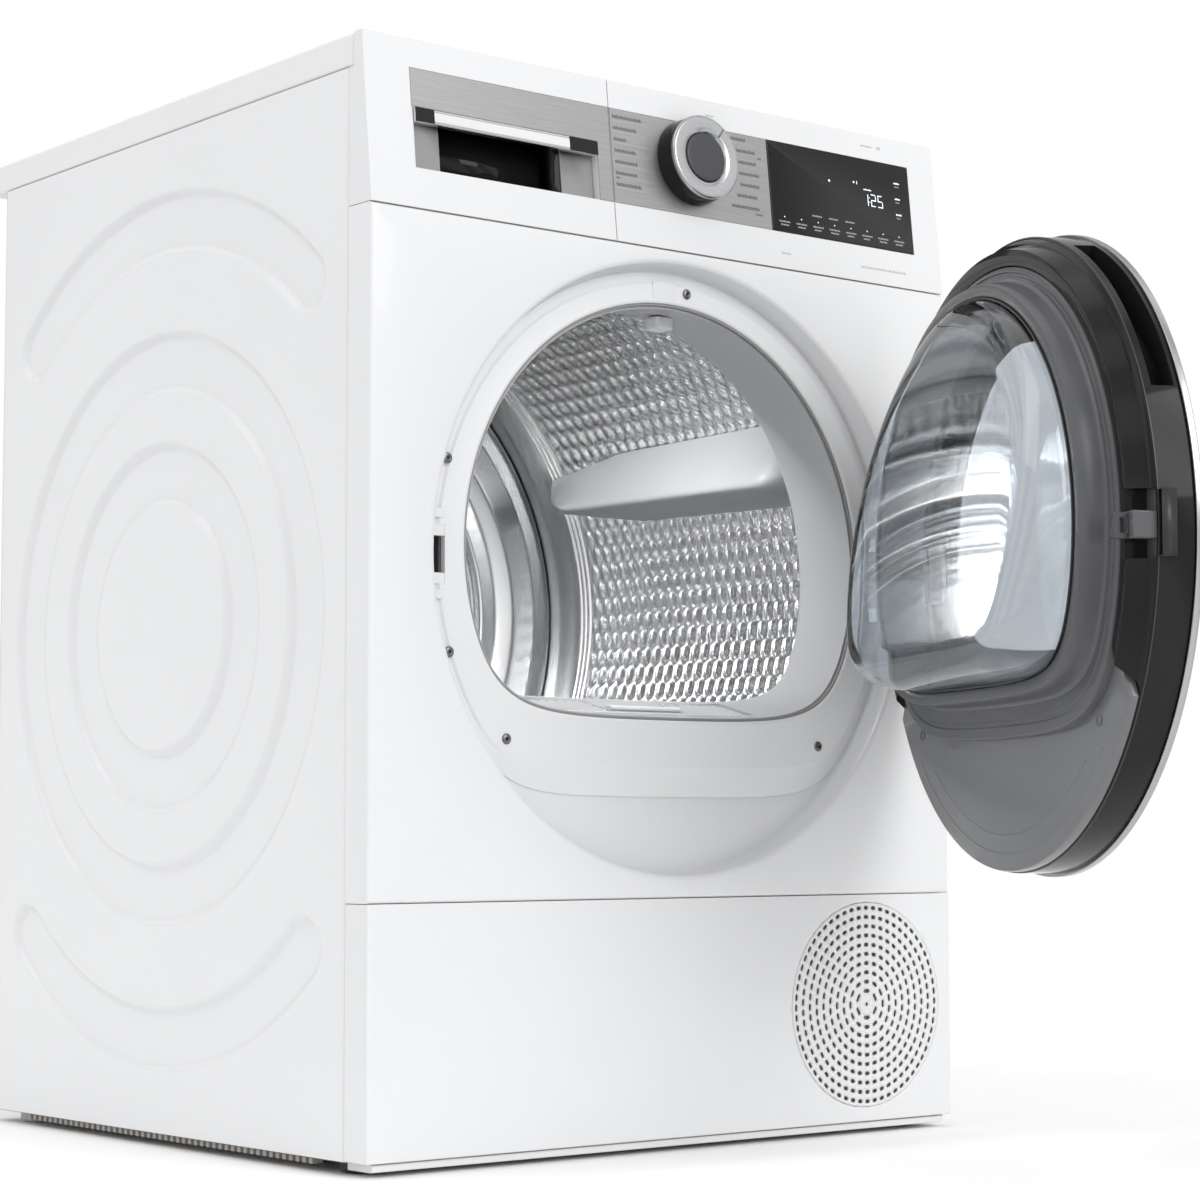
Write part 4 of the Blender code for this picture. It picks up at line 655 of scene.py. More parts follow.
for k, (x, z) in enumerate(((20, 680), (-218, 528), (-216, 382), (-162, 318), (162, 318))):
    screw(f"bezel_screw_{k}", x, z, BEZEL_FACE)
put("bezel_cover", prism(rounded_box((-16, 673), (8, 687), 2.5), BEZEL_FACE - 0.6,
                         BEZEL_FACE + 0.1), "white_plastic", bevel=0.4)
for k, z in enumerate((486, 425)):
    tab = rounded_box((-231, z - 3.5), (-220.5, z + 3.5), 1)
    put(f"latch_tab_{k}", prism(tab, BEZEL_FACE - 0.5, BEZEL_FACE + 0.1), "white_plastic",
        bevel=0.25)
put("latch_sills", together(block((-231.4, -220.1), (15.8, 22), (low, low + 8.4))
                            for low in (432.6, 469)), "white_plastic")
seal = dees([(204.6, 465, 335.6, 16.9), (204.2, 465, 336, 16.5), (203.4, 465, 336.8, 16.4),
             (203, 465, 337.2, 16.6), (203, 465, 337.2, 18.2), (204.6, 465, 335.6, 18.2)])
put("opening_seal", loft(seal), "pocket_grey", slot="rubber")
soften("latch_receiver", "door_grey_plastic", width=0.6, slot="dark_grey_plastic")

# %% [markdown]
# ## The tunnel and the front shield
# Behind the bezel a moulded tunnel leads to the drum. It is the inner edge of a large plate that
# closes the cabinet in front of the drum and carries the support rollers and the filter shaft.
# The tunnel is lofted finely, because its curve is seen edge on, and the filter's slot is cut.

# %% Tunnel, shield and filter shaft
WELL_HALF, WELL = 107.6, (33.4, 77.6)


def ramp(depth):
    """Height of the tunnel's floor, which climbs towards the drum."""
    return 338 + 0.27 * max(0.0, depth - 23)


def shield_rings():
    low, high = span("front_shield")
    corners = (low[0] + 7, low[2] + 11), (high[0] - 7, high[2])
    centre, wall = Vector((DISH.x, HUB)), 3
    floor = [(radius, 465, ramp(depth), depth) for radius, depth in
             ((201, 18.8), (201, 24), (202, 40), (204.5, 66), (206.5, 80), (207.6, 86))]
    edge = [(208.6, 465, ramp(88) - 0.8, 88.6), (210, 465, ramp(88) - 4, 90.4), (212, 465, 333, 91)]
    outside = [(209 + wall, 465, 338 - wall, 88), (201 + wall, 465, 338 - wall, 23.3),
               (222, 465, 317, 23.3), (222, 465, 317, 21.3)]
    plate = [frame_ring(*corners, depth, angles_of(256), centre) for depth in (91, 88)]
    return dees(floor + edge) + plate + dees(outside)


shield = put("front_shield_moulded", loft(shield_rings()), "tunnel_white",
             stands_for=("front_shield",), slot="white_plastic")
carve(shield, [block((-WELL_HALF, WELL_HALF), WELL, (300, 360))])
shaft = rounded_box((-WELL_HALF, WELL[0]), (WELL_HALF, WELL[1]), 1, 2)
outer = rounded_box((-WELL_HALF - 3, WELL[0] - 3), (WELL_HALF + 3, WELL[1] + 3), 3, 2)
levels = [[(x, depth, z) for x, depth in line] for line, z in
          ((shaft, 158), (shaft, 334.8), (outer, 334.8), (outer, 158))]
put("filter_shaft", loft(levels), "tunnel_white", slot="white_plastic")
axle = [(0, 90), (5, 90), (5, 116.5), (4.5, 117), (0, 117)]
put("roller_axles", together(spin(axle, (side * 144.27, 184.67), steps=32) for side in (-1, 1)),
    "machined_steel", slot="galvanised_steel")
print("tunnel points:", len(shield.data.vertices))

# %% [markdown]
# A thick felt ring closes the gap between the shield and the drum's rolled edge. It is plain to
# turn, and its own cloudy grain keeps it from looking like plastic.

# %% Felt seal and the lamp in the tunnel roof
DRUM = Vector((0, 456))
felt = filleted([(252, 91.2), (272, 91.2), (272, 95.7), (252, 95.7)], 1.5, closed=True)
put("drum_felt_seal", spin(felt, DRUM, steps=128, closed=True), "felt", slot="rubber")
put("drum_lamp", prism(rounded_box((13, 44), (31, 62), 3), 656, 666, "Z"), "white_plastic", bevel=1)
print("felt and lamp made")

# %% [markdown]
# ## Lint filter
# The filter lifts out of the tunnel's floor. Its basket is in the frame already; what is missing
# is the lattice on both sides of the finger grip. Slanting bars are clipped to the two openings
# and drawn as thin strips, one set each way, so the holes between them are true holes. The deck
# is drawn level and then tipped to follow the ramp of the tunnel's floor.

# %% Lint filter and its lattice
soften("lint_filter", "white_plastic", "filter", width=0.7)
GRATE = (37, 74)
BAR_HALF, BAR_STEP, BAR_DEEP = 1.1, 9, 0.9


def clipped_bar(shift, way, left, right):
    """The four corners of a slanting bar inside a rectangle, or None outside it."""
    low, high = GRATE
    ends = [(shift, low), (shift + way * (high - low), high)]
    if max(ends)[0] < left + BAR_HALF or min(ends)[0] > right - BAR_HALF:
        return None
    cut = []
    for x, y in ends:
        held = min(max(x, left + BAR_HALF), right - BAR_HALF)
        cut.append((held, low + (held - shift) * way if held != x else y))
    (xa, ya), (xb, yb) = cut
    if abs(xa - xb) < 1:
        return None
    return [(xa - BAR_HALF, ya), (xa + BAR_HALF, ya), (xb + BAR_HALF, yb), (xb - BAR_HALF, yb)]


def lean(shape):
    """Tip a shape drawn level at height 338 so that it follows the ramp."""
    points, faces = shape
    return [(x, depth, z - 338 + ramp(depth)) for x, depth, z in points], faces


bars = []
for left, right in ((-106, -38), (38, 106)):
    for layer, way in enumerate((-1, 1)):
        shift = left - 40
        while shift < right + 40:
            outline = clipped_bar(shift, way, left, right)
            if outline:
                low = 337.2 - BAR_DEEP * layer
                bars.append(lean(prism(outline, low, low + BAR_DEEP, "Z")))
            shift += BAR_STEP
put("filter_lattice", together(bars), "white_plastic", "filter")
put("filter_mesh", together(lean(block((left, left + 68), (37.4, 73.6), (335.9, 336.2)))
                            for left in (-106, 38)), "door_grey_plastic", "filter",
    slot="dark_grey_plastic")
deck = [lean(block(x, depth, (336, 338.2))) for x, depth in
        (((-107, 107), (34, 37.4)), ((-107, 107), (73.6, 77)), ((-107, -105), (37.4, 73.6)),
         ((105, 107), (37.4, 73.6)), ((-38, 38), (37.4, 73.6)))]
deck += [prism([(34, 339), (77, 339), (77, ramp(77)), (34, ramp(34))], left, left + 1.2, "X")
         for left in (-107, 105.8)]
deck.append(block((-107, 107), (76, 77), (339, ramp(76))))
put("filter_deck", together(deck), "tunnel_white", "filter", bevel=0.4, slot="white_plastic")
grip = [(48 + 6 * math.cos(t), ramp(48) + 1 + 2.4 * math.sin(t)) for t in angles_of(24)]
put("filter_grip", prism(grip, -36, 36, "X"), "white_plastic", "filter", bevel=1.2, segments=3)
print("lattice bars:", len(bars))

# %% [markdown]
# ## The drum
# The drum is rolled from bright stainless sheet and embossed with rows of long pads, each row
# half a step out from the next, which lift the wet laundry off the steel. The inner wall is a
# grid in angle and depth, raised by rounded pads. One loft makes the whole shell: the outer
# wall, the folded front lip and the embossed inside.

# %% Embossed drum shell
ROWS, PER_ROW = 104, 7
PITCH_DEEP, DEEP_STEPS, PAD = 14.0, 7, 1.7
PADS_FROM, PADS_TO = 108.0, 456
INNER_RADIUS = 281.6


def pad_height(row_angle, depth):
    """Height of the embossing; row_angle counts rows."""
    if depth < PADS_FROM or depth > PADS_TO:
        return 0.0
    row = math.floor(row_angle)
    across = (row_angle - row - 0.5) * 2
    column = (depth - PADS_FROM) / PITCH_DEEP + 0.5 * (row % 2)
    along = (column - math.floor(column) - 0.5) * 2
    reach = (abs(across) / 0.96) ** 3.2 + (abs(along) / 0.7) ** 2.2
    return PAD * max(0.0, 1 - reach) ** 0.75


def make_drum_shell():
    count = ROWS * PER_ROW
    outer = [(262, 96.6), (263, 96), (282, 96), (283, 97), (283, 240), (283, 400), (283, 532),
             (INNER_RADIUS, 532)]
    lip = [(INNER_RADIUS, 97.6), (280.6, 97.2), (262.4, 97.2)]
    depths = [531, 500, 478] + [460 - PITCH_DEEP / DEEP_STEPS * k for k in range(177)] + [104, 99]
    rings = [[(radius, depth)] * count for radius, depth in outer]
    rings += [[(INNER_RADIUS - pad_height(k / PER_ROW, depth), depth) for k in range(count)]
              for depth in depths]
    rings += [[(radius, depth)] * count for radius, depth in lip]
    turns = [(math.cos(a), math.sin(a)) for a in angles_of(count)]
    rings = [[(DRUM.x + r * c, depth, DRUM.y + r * s) for (r, depth), (c, s) in zip(ring, turns)]
             for ring in rings]
    return put("drum_shell_embossed", loft(rings), "stainless_steel", "drum", ("drum_shell",),
               sharp=70)


drum = make_drum_shell()
print("drum points:", len(drum.data.vertices))

# %% [markdown]
# The drum's rear wall is spun in concentric steps round the shaft. Fillets on the profile make
# the polished rings that show as bands of light and dark.

# %% Drum rear wall
wall_steps = [(0, 508), (50, 508), (62, 518), (140, 518), (152, 528), (196, 528), (206, 516),
              (222, 508), (246, 506), (264, 512), (274, 522), (280, 526), (281.2, 529.4),
              (151.4, 529.4), (139.4, 519.4), (61.4, 519.4), (49.4, 509.4), (11, 509.4),
              (11, 566), (0, 566)]
put("drum_rear_wall_spun", spin(filleted(wall_steps, 3.5, 6), DRUM, steps=192), "stainless_steel",
    "drum", ("drum_rear_wall",))
ribs = []
for low, high in ((166, 178), (182, 190)):
    ribs.append([(low + (high - low) * n / 10, 528.2 - 3.2 * math.sin(math.pi * n / 10))
                 for n in range(11)])
for depth in (463, 469.5, 476):
    ribs.append([(281.9 - 2.6 * math.sin(math.pi * n / 8), depth + 4.6 * (n / 8 - 0.5))
                 for n in range(9)])
put("rear_wall_rings", together(spin(bump, DRUM, steps=192) for bump in ribs), "stainless_steel",
    "drum")
put("rear_wall_hub", spin([(0, 501), (26, 501), (34, 503), (38, 507.9)], DRUM, steps=96),
    "stainless_steel", "drum")
print("rear wall turned")

# %% [markdown]
# Three lifters are fixed inside the drum and tumble the laundry. Each is a hollow moulding with
# a soft crest between two flat flanks. It falls at both ends and widens towards the loading
# opening. The loft has many short steps, so that the crest and the ends are smooth.

# %% Drum lifters
LIFTER_STATIONS, LIFTER_ACROSS, LIFTER_UNDER = 44, 36, 12
LIFTER_FRONT, LIFTER_LONG, LIFTER_TALL, LIFTER_WIDE = 101, 376, 58, 80
LIFTER_FOOT, CREST_SOFTNESS, CREST_START = 279.6, 0.015, 0.1225


def lifter_ring(t):
    """The section a share t of the way from the front end to the rear end."""
    depth = LIFTER_FRONT + LIFTER_LONG * t
    ease = min(1, t / 0.1) * min(1, (1 - t) / 0.22)
    tall = LIFTER_TALL * (0.2 + 0.8 * math.sin(math.pi / 2 * ease)) * (1 - 0.12 * t)
    half = LIFTER_WIDE / 2 * (1 - 0.2 * t) * (0.55 + 0.45 * min(1, (1 - t) / 0.3))
    ring = []
    for k in range(LIFTER_ACROSS + 1):
        u = -1 + 2 * k / LIFTER_ACROSS
        fall = ((math.sqrt(u * u + CREST_SOFTNESS) - CREST_START)
                / (math.sqrt(1 + CREST_SOFTNESS) - CREST_START))
        ring.append((half * u, depth,
                     -math.sqrt(LIFTER_FOOT ** 2 - (half * u) ** 2) + tall * (1 - fall) ** 0.9))
    for k in range(1, LIFTER_UNDER):
        x = half * (1 - 2 * k / LIFTER_UNDER)
        ring.append((x, depth, -math.sqrt(LIFTER_FOOT ** 2 - x * x) - 0.4))
    return ring


for number in range(3):
    turn = math.radians(25 + 120 * number)
    where = (Matrix.Translation((DRUM.x * MM, 0, DRUM.y * MM))
             @ Matrix.Rotation(-(turn + math.pi / 2), 4, "Y"))
    rings = [lifter_ring(step / LIFTER_STATIONS) for step in range(LIFTER_STATIONS + 1)]
    put(f"drum_lifter_{number + 1}_moulded", loft(rings, closed=False, ends=True), "lifter_satin",
        "drum", (f"drum_lifter_{number + 1}",), at=where, sharp=50, slot="white_plastic")
print("lifters: 3")

# %% [markdown]
# ## Control panel and drawer front
# The two fascia parts are moulded shells with a common face that leans back. Both are softened
# copies, so the seam between them stays open by a hair. The drawer front wraps round the left
# corner of the cabinet. A strip of brushed steel, under a millimetre thick, runs behind the
# grip, the knob and the display.

# %% Fascia parts, brushed strip and grip bar
soften("control_panel", "white_plastic", width=1.4, segments=3)
soften("drawer_front", "white_plastic", "drawer", width=1.4, segments=3)
soften("drawer_steel_trim", "brushed_steel", "drawer", width=0.15)
soften("panel_steel_trim", "brushed_steel", width=0.15)
GRIP_LEFT, GRIP_RIGHT, BAR_STEPS = -255.6, -79.9, 24
bar = filleted([(-1.5, 67.6), (-1.7, 69), (-1.75, 73), (-1.6, 76.6), (-1.0, 78.3), (0.4, 78.6),
                (3.6, 78.6), (4.0, 78.2), (4.0, 67.2), (3.6, 66.9), (-0.4, 66.9)], 0.8, 3,
               closed=True)
rings = [[(GRIP_LEFT + (GRIP_RIGHT - GRIP_LEFT) * k / BAR_STEPS, depth, z) for depth, z in bar]
         for k in range(BAR_STEPS + 1)]
put("drawer_grip_bar_plated", loft(rings, closed=False, ends=True), "chrome", "drawer",
    ("drawer_grip_bar",), at=PANEL_PLANE)
put("grip_bar_ends", together(block(x, (-1.95, -1.6), (67.2, 78.3)) for x in
                              ((GRIP_LEFT, -238), (-108, GRIP_RIGHT))), "gloss_black", "drawer",
    at=PANEL_PLANE, bevel=0.1, slot="black_plastic")
print("fascia softened, strip and bar made")

# %% [markdown]
# Under the bar the grip is a pocket: two flat grey cheeks with a deep black opening between
# them. The cheeks form one plate with a hole, and the opening is an open box behind it.

# %% Grip pocket
def corners(left, right, low, high, depth):
    return [(left, depth, low), (right, depth, low), (right, depth, high), (left, depth, high)]


def open_box(mouth, floor):
    """Four walls from one rectangle to another, and the floor that closes them."""
    return together([loft([mouth, floor], closed=False), (floor, [(0, 1, 2, 3)])])


OUTSIDE, MOUTH = (-255.7, -79.8, 32.0, 78.6), (-229, -112, 33.6, 78.0)
put("grip_cheeks", loft([corners(*OUTSIDE, 7), corners(*MOUTH, 7), corners(*MOUTH, 8.5),
                         corners(*OUTSIDE, 8.5)]), "pocket_grey", "drawer", at=PANEL_PLANE,
    bevel=0.5, slot="dark_grey_plastic")
put("grip_cavity", open_box(corners(*MOUTH, 8.6), corners(-226, -115, 35, 76, 30)), "gloss_black",
    "drawer", at=PANEL_PLANE, wall=0.4, slot="black_plastic")
print("pocket made")

# %% [markdown]
# ## Programme knob
# The knob is turned in three pieces: a black skirt, a bright ring with a soft edge, and a dark
# cap. A thin line on the ring is its pointer.

# %% Knob
KNOB = Vector((19, 75.9))
for node, look, slot, fillet, profile in (
        ("knob_skirt", "gloss_black", "black_plastic", 0.5,
         [(0, -15.3), (33.6, -15.3), (34.6, -14.8), (35.8, -0.5), (33, -0.5), (32, -12.3),
          (3, -12.3), (3, 10.9), (0, 10.9)]),
        ("knob_ring", "silver_ring", "silver_ring", 0.9,
         [(20.6, -15.4), (34.6, -15.4), (34.7, -18.2), (33.2, -19.4), (30, -19.45), (24, -19.2),
          (21.6, -18.2), (20.6, -17.4)]),
        ("knob_cap", "dark_grey_plastic", "dark_grey_plastic", 0.7,
         [(20.2, -15.7), (20.2, -17.7), (19.4, -18.5), (17, -18.75), (0, -18.9)])):
    put(f"{node}_turned", spin(filleted(profile, fillet), KNOB, steps=192), look, "knob", (node,),
        at=PANEL_PLANE, slot=slot)
line = [polar(KNOB, radius, math.radians(52) + turn) for radius, turn in
        ((23.5, -0.03), (32.6, -0.022), (32.6, 0.022), (23.5, 0.03))]
put("knob_pointer", prism(line, -19.48, -19.2), "print_grey", "knob", at=PANEL_PLANE,
    slot="dark_grey_plastic")
print("knob pieces: 4")

# %% [markdown]
# ## Printed marks
# Programme names are only suggested, by short strokes of different lengths, so no real lettering
# is drawn. All strokes of one ink make one thin mesh that stands a few hundredths of a millimetre
# proud of the surface. Digits on the display are seven-segment figures.

# %% Printed strokes beside the knob
def strokes(name, boxes, look, depth, thick=0.06, slot="black_plastic"):
    """Small rectangles (x, z, width, height) along the panel."""
    parts = [block((x, x + wide), (depth - thick, depth), (z, z + tall))
             for x, z, wide, tall in boxes]
    return put(name, together(parts), look, at=PANEL_PLANE, slot=slot)


def word(x, z, length, seed, tall=2.4, gap=0.4):
    """A run of letter-like strokes that fills a length."""
    boxes, here, k = [], x, seed
    pattern = (1.3, 0.9, 1.5, 1.1, 0.7, 1.4, 1.0, 1.2)
    while here < x + length - 0.5:
        wide = min(pattern[k % len(pattern)], x + length - here)
        boxes.append((here, z, wide, tall * (1.0 if k % 3 else 1.25)))
        here += wide + gap
        k += 1
    return boxes


LABEL_LEFT, LABEL_PITCH = -61.5, 9.3
labels = []
for row, length in enumerate((30, 24, 13, 22, 23, 22, 26)):
    labels += word(LABEL_LEFT, 101.5 - LABEL_PITCH * row, length, row)
labels += word(LABEL_LEFT, 101.5 - LABEL_PITCH * 5 - 3.4, 5, 2, 1.4)
for row, (start, length) in enumerate(((58, 22), (63, 27), (70, 20), (71, 22), (71, 21), (67, 22),
                                       (60, 31))):
    labels += word(start, 103 - 9.6 * row, length, row + 4)
labels += word(92, 90.0, 5, 1, 1.4) + word(86, 41.5, 8, 3, 1.4)
strokes("programme_labels", labels, "print_grey", 0.0)
lines = [(LABEL_LEFT, 99.8 - LABEL_PITCH * k, 34 if k < 6 else 30, 0.25) for k in range(7)]
strokes("programme_lines", lines, "faint_print", -0.005, thick=0.03)
faint = word(38, 119, 9, 1, 1.1) + word(214, 120.5, 13, 2, 1.3) + word(233, 120.2, 4, 5, 2.2)
faint += word(112, 12.5, 10, 2, 1.3) + word(203, 12.0, 54, 1, 1.7, 0.8)
strokes("fascia_marks", faint, "faint_print", -0.02, slot="white_plastic")
print("label strokes:", len(labels), "faint strokes:", len(faint))

# %% [markdown]
# ## Display
# The window is one pane of black glass. Its touch keys are rows of small marks that glow behind
# it, with the remaining time in the middle and two status dots above.

# %% Display window and its lit marks
LEFT, RIGHT, LOW, HIGH = 104, 268, 31.7, 109.1
rings = [[(x, depth, z) for x, z in rounded_box((LEFT + inset, LOW + inset),
                                                (RIGHT - inset, HIGH - inset), 1.2)]
         for depth, inset in ((2.2, 0.0), (0.2, 0.0), (-0.15, 0.25), (-0.3, 0.8))]
put("display_window_polished", loft(rings, closed=False, ends=True), "black_glass",
    stands_for=("display_window",), at=PANEL_PLANE)

SEGMENTS = {"a": (0, 1, 1, 0), "b": (1, 0.5, 0, 0.5), "c": (1, 0, 0, 0.5), "d": (0, 0, 1, 0),
            "e": (0, 0, 0, 0.5), "f": (0, 0.5, 0, 0.5), "g": (0, 0.5, 1, 0)}
FIGURES = {"1": "bc", "2": "abged", "5": "afgcd"}


def figure(digit, x, z, wide=5.0, tall=10.0, line=0.8):
    boxes = []
    for segment in FIGURES[digit]:
        u, v, right, up = SEGMENTS[segment]
        boxes.append((x + u * wide, z + v * tall, wide if right else line,
                      up * tall if up else line))
    return boxes


lit = figure("1", 212, 68) + [(218.6, 71, 0.9, 0.9), (218.6, 75, 0.9, 0.9)]
lit += figure("2", 221, 68) + figure("5", 229, 68)
lit += [(172, 83, 1.8, 1.8), (201, 86, 1.6, 1.6), (205, 85.4, 0.7, 2.8)]
lit += [(117.6 + 19 * k, 44.4, 1.0, 1.0) for k in range(8)]
lit += word(213, 81.5, 9, 2, 1.0)
dim = []
for k in range(8):
    x = 112 + 19 * k
    dim += word(x, 40.0, 12.5, k, 1.2) + word(x + 1.5, 37.2, 9.5 - k % 3, k + 3, 1.2)
    if k in (2, 3, 4):
        dim += word(x, 49.5, 11, k + 1, 1.2)
for k in range(3):
    lit += word(250, 92 - 14 * k, 6.5, k + 1, 1.2)
    dim += word(250.5, 89 - 14 * k, 5, k + 4, 1.0)
for name, boxes in (("lit", lit), ("dim", dim)):
    strokes(f"display_{name}_marks", boxes, f"{name}_mark", -0.3, thick=0.04, slot="black_glass")
print("display marks:", len(lit) + len(dim))

# %% [markdown]
# ## The door
# The door stands open, so its parts are drawn closed and turned about the hinge pin with the
# matrix from the first cells. From outside to inside they are a bright ring with a glass disc, a
# black wall with a finger recess, a grey inner frame, and the clear bowl.

# %% Door ring and outer glass
DOOR = dict(body="door", at=DOOR_TURN)


def door_spin(name, profile, look, closed=True, **more):
    return put(name, spin(profile, DISH, 256, closed), look, **DOOR, **more)


ring_profile = filleted([(236.5, -35.4), (237.2, -36), (242.4, -36), (243.2, -35.1), (243.2, -30.3),
                         (236.5, -30.3)], 0.6, closed=True)
door_spin("door_ring_plated", ring_profile, "silver_ring", stands_for=("door_ring",))
border = filleted([(172, -35.6), (235.6, -35.6), (236.2, -35.1), (236.2, -31.9), (172, -31.9)], 0.3,
                  3, closed=True)
door_spin("door_glass_border", border, "black_glass", stands_for=("door_glass",))
disc = [(0, -35.6), (171.9, -35.6), (171.9, -31.9), (0, -31.9)]
door_spin("door_glass_middle", disc, "smoked_glass", closed=False, slot="black_glass")
print("door ring and glass turned")

# %% [markdown]
# The wall of the door is a turned shell with things let into it: the finger recess, the room for
# the lock's hook and the pocket for the hinge. The turning is fine, and the cuts are made with
# the Boolean modifier, which is how a mould maker would think of them too.

# %% Door shell with its finger recess
RECESS = (math.radians(114), math.radians(156))


def arc_block(inner, outer, low, high, spread=0.0, steps=48):
    """A curved block over the recess, or a little wider."""
    start, end = RECESS[0] - spread, RECESS[1] + spread
    angles = [start + (end - start) * k / steps for k in range(steps + 1)]
    return prism([polar(DISH, outer, a) for a in angles]
                 + [polar(DISH, inner, a) for a in reversed(angles)], low, high)


shell_profile = filleted([(185, -31.6), (236.2, -31.6), (236.2, -30), (241, -30), (240, -3.5),
                          (239.4, -2), (237, -2), (238, -28.6), (185, -28.6)], 0.5, 3, closed=True)
shell = door_spin("door_shell_moulded", shell_profile, "gloss_black", stands_for=("door_shell",),
                  slot="black_plastic")
hook_room = block((-242.5, -219), (-3.3, 30), (433, 481))
hinge_room = prism([(233, -28.5), (205, 25), (262, 25), (262, -28.5)], 415, 498, "Z")
carve(shell, [arc_block(216.5, 239.2, -29.1, -7, 0.014)], "UNION")
carve(shell, [arc_block(219, 251, -26.6, -9.5), hook_room, hinge_room])
step_rings = dees([(238.6, 456.5, None, -3.1), (238.6, 456.5, None, -2.3),
                   (237.6, 456.5, None, -1.6), (234, 456.5, None, -0.5), (230.5, 458, None, 6),
                   (226.4, 460, None, 13.6), (225.4, 460, None, 14), (214.5, 460, None, 12.5),
                   (214.5, 460, None, -3.1)])
step = put("door_shell_step", loft(step_rings), "gloss_black", **DOOR, slot="black_plastic")
line = [(-300, 100), (300, 100), (300, 339), (210, 339), (193, 380), (-193, 380), (-210, 339),
        (-300, 339)]
carve(step, [prism(line, -2.2, 30), hook_room, hinge_room])
print("door shell points:", len(shell.data.vertices))

# %% [markdown]
# The recess has a pale edge where the two halves of the moulding meet, and a groove runs round
# the wall just in front of the frame. Both are thin rings that lie almost flush.

# %% Edge lines on the door wall
put("recess_edges", together(arc_block(radius - 0.6, radius + 0.08, depth - 0.55, depth + 0.55,
                                       0.004, 64)
                             for depth, radius in ((-8.8, 240.05), (-27.3, 240.7))),
    "door_grey_plastic", **DOOR)
groove = [(238.9, -3.9), (240.25, -3.9), (240.2, -3.1), (238.9, -3.1)]
door_spin("door_wall_groove", groove, "dark_grey_plastic")
print("edge lines made")

# %% [markdown]
# The inner frame steps down from the chin to a raised D that holds the bowl. It is one closed
# loft. The chin is a separate moulding under it: the foot of a disc, with two screws in its
# corners.

# %% Door frame, chin and gasket
frame_rings = dees([
    (235.8, 456.5, None, -6.4), (235.8, 456.5, None, -3.6), (213.6, 460, 316, -3.4),
    (213.4, 460, 316.1, 12.4), (213, 460, 316.5, 13.2), (212.2, 460, 317.3, 14.1),
    (211, 460, 318.5, 14.4), (208.4, 461, 325, 14.4), (207.8, 461, 325.7, 13.5),
    (205, 462, 329, 13.5), (204.4, 462, 329.8, 14.4), (199.2, 465, 339.8, 14.4),
    (197.4, 465, 341.6, 15.6), (196.6, 465, 342.4, 17), (195.6, 465, 343.6, 25),
    (194.9, 465, 344.2, 31.5), (194, 465, 345, 33.2), (192.4, 465, 346.6, 34),
    (186.4, 465, 352.6, 33.9), (185.2, 465, 353.8, 33.2), (184.9, 465, 354.1, 32),
    (184.9, 465, 354.1, -6.4), (187.9, 465, 351.1, -6.4), (187.9, 465, 351.1, 12),
    (210.5, 460, 319, 12), (210.5, 460, 319, -6.4)])
inner = put("door_frame_moulded", loft(frame_rings), "door_grey_plastic",
            stands_for=("door_frame",), **DOOR)
carve(inner, [hinge_room])

CHIN_RADIUS, CHIN_TOP = 239.2, 340
start = math.asin((CHIN_TOP - DISH.y) / CHIN_RADIUS)
chin_line = [polar(DISH, CHIN_RADIUS, math.pi - start + (math.pi + 2 * start) * k / 96)
             for k in range(97)] + [(195, 378), (-189, 378)]


def chin_ring(inset, depth):
    centre = Vector((DISH.x, 300))
    ring = []
    for corner in chin_line:
        spot = Vector(corner) - centre
        spot = centre + spot * (1 - inset / spot.length)
        ring.append((spot.x, depth, spot.y))
    return ring


chin = [chin_ring(*place) for place in ((0, -1.5), (0, 3.6), (0.8, 5.2), (2.4, 6))]
put("door_chin", loft(chin, closed=False, ends=True), "chin_grey", **DOOR, slot="door_grey_plastic")
rolls = []
for radius, reach in ((226, 0.42), (212, 0.36)):
    bent = []
    for k in range(65):
        angle = -math.pi / 2 - reach * 2 + reach * 4 * k / 64
        ring = []
        for w in (-1.2, -0.8, -0.4, 0, 0.4, 0.8, 1.2):
            x, z = polar(DISH, radius + w, angle)
            ring.append((x, 5.9 + 0.45 * math.cos(w * math.pi / 2.4), z))
        bent.append(ring)
    rolls.append(loft(bent, closed=False, ends=True))
put("chin_beads", together(rolls), "chin_grey", **DOOR, slot="door_grey_plastic")
for k, (x, z) in enumerate(((-160, 325), (166, 325))):
    screw(f"chin_screw_{k}", x, z, 6.3, 4.0, **DOOR, look="door_grey_plastic")
lip = dees([(184.7, 465, 354.3, 31.6), (184.6, 465, 354.4, 34.6), (183.8, 465, 355.2, 35.2),
            (182.9, 465, 356.1, 34.6), (182.8, 465, 356.2, 31.6)])
put("bowl_gasket", loft(lip), "black_plastic", **DOOR, slot="rubber")
print("door frame points:", len(inner.data.vertices))

# %% [markdown]
# The bowl is pressed glass. Its outside bulges into the drum, more at the foot than at the top,
# so that laundry falls away from it. Rings follow a quarter of an ellipse, and an inner skin four
# millimetres behind gives the real thickness that bends the light.

# %% Glass bowl
BOWL_RADIUS, BOWL_FOOT, BOWL_TOP = 182.5, 356.5, 647.5
BOWL_RIM, BOWL_DEEP, BOWL_CORNER, BOWL_SOFT = 34, 50, 30, 11


def bowl_lean(z):
    """How deep the bowl is at this height, as a share: shallow at the top, full at the foot."""
    return 0.2 + 0.8 * (BOWL_TOP - z) / (BOWL_TOP - BOWL_FOOT)


def bowl_ring(shrink, share, inset=0.0):
    return dee(BOWL_RADIUS - shrink - inset, 465, BOWL_FOOT + shrink + inset, BOWL_RIM,
               soft=BOWL_SOFT, slope=lambda z: (BOWL_DEEP * share - inset) * bowl_lean(z))


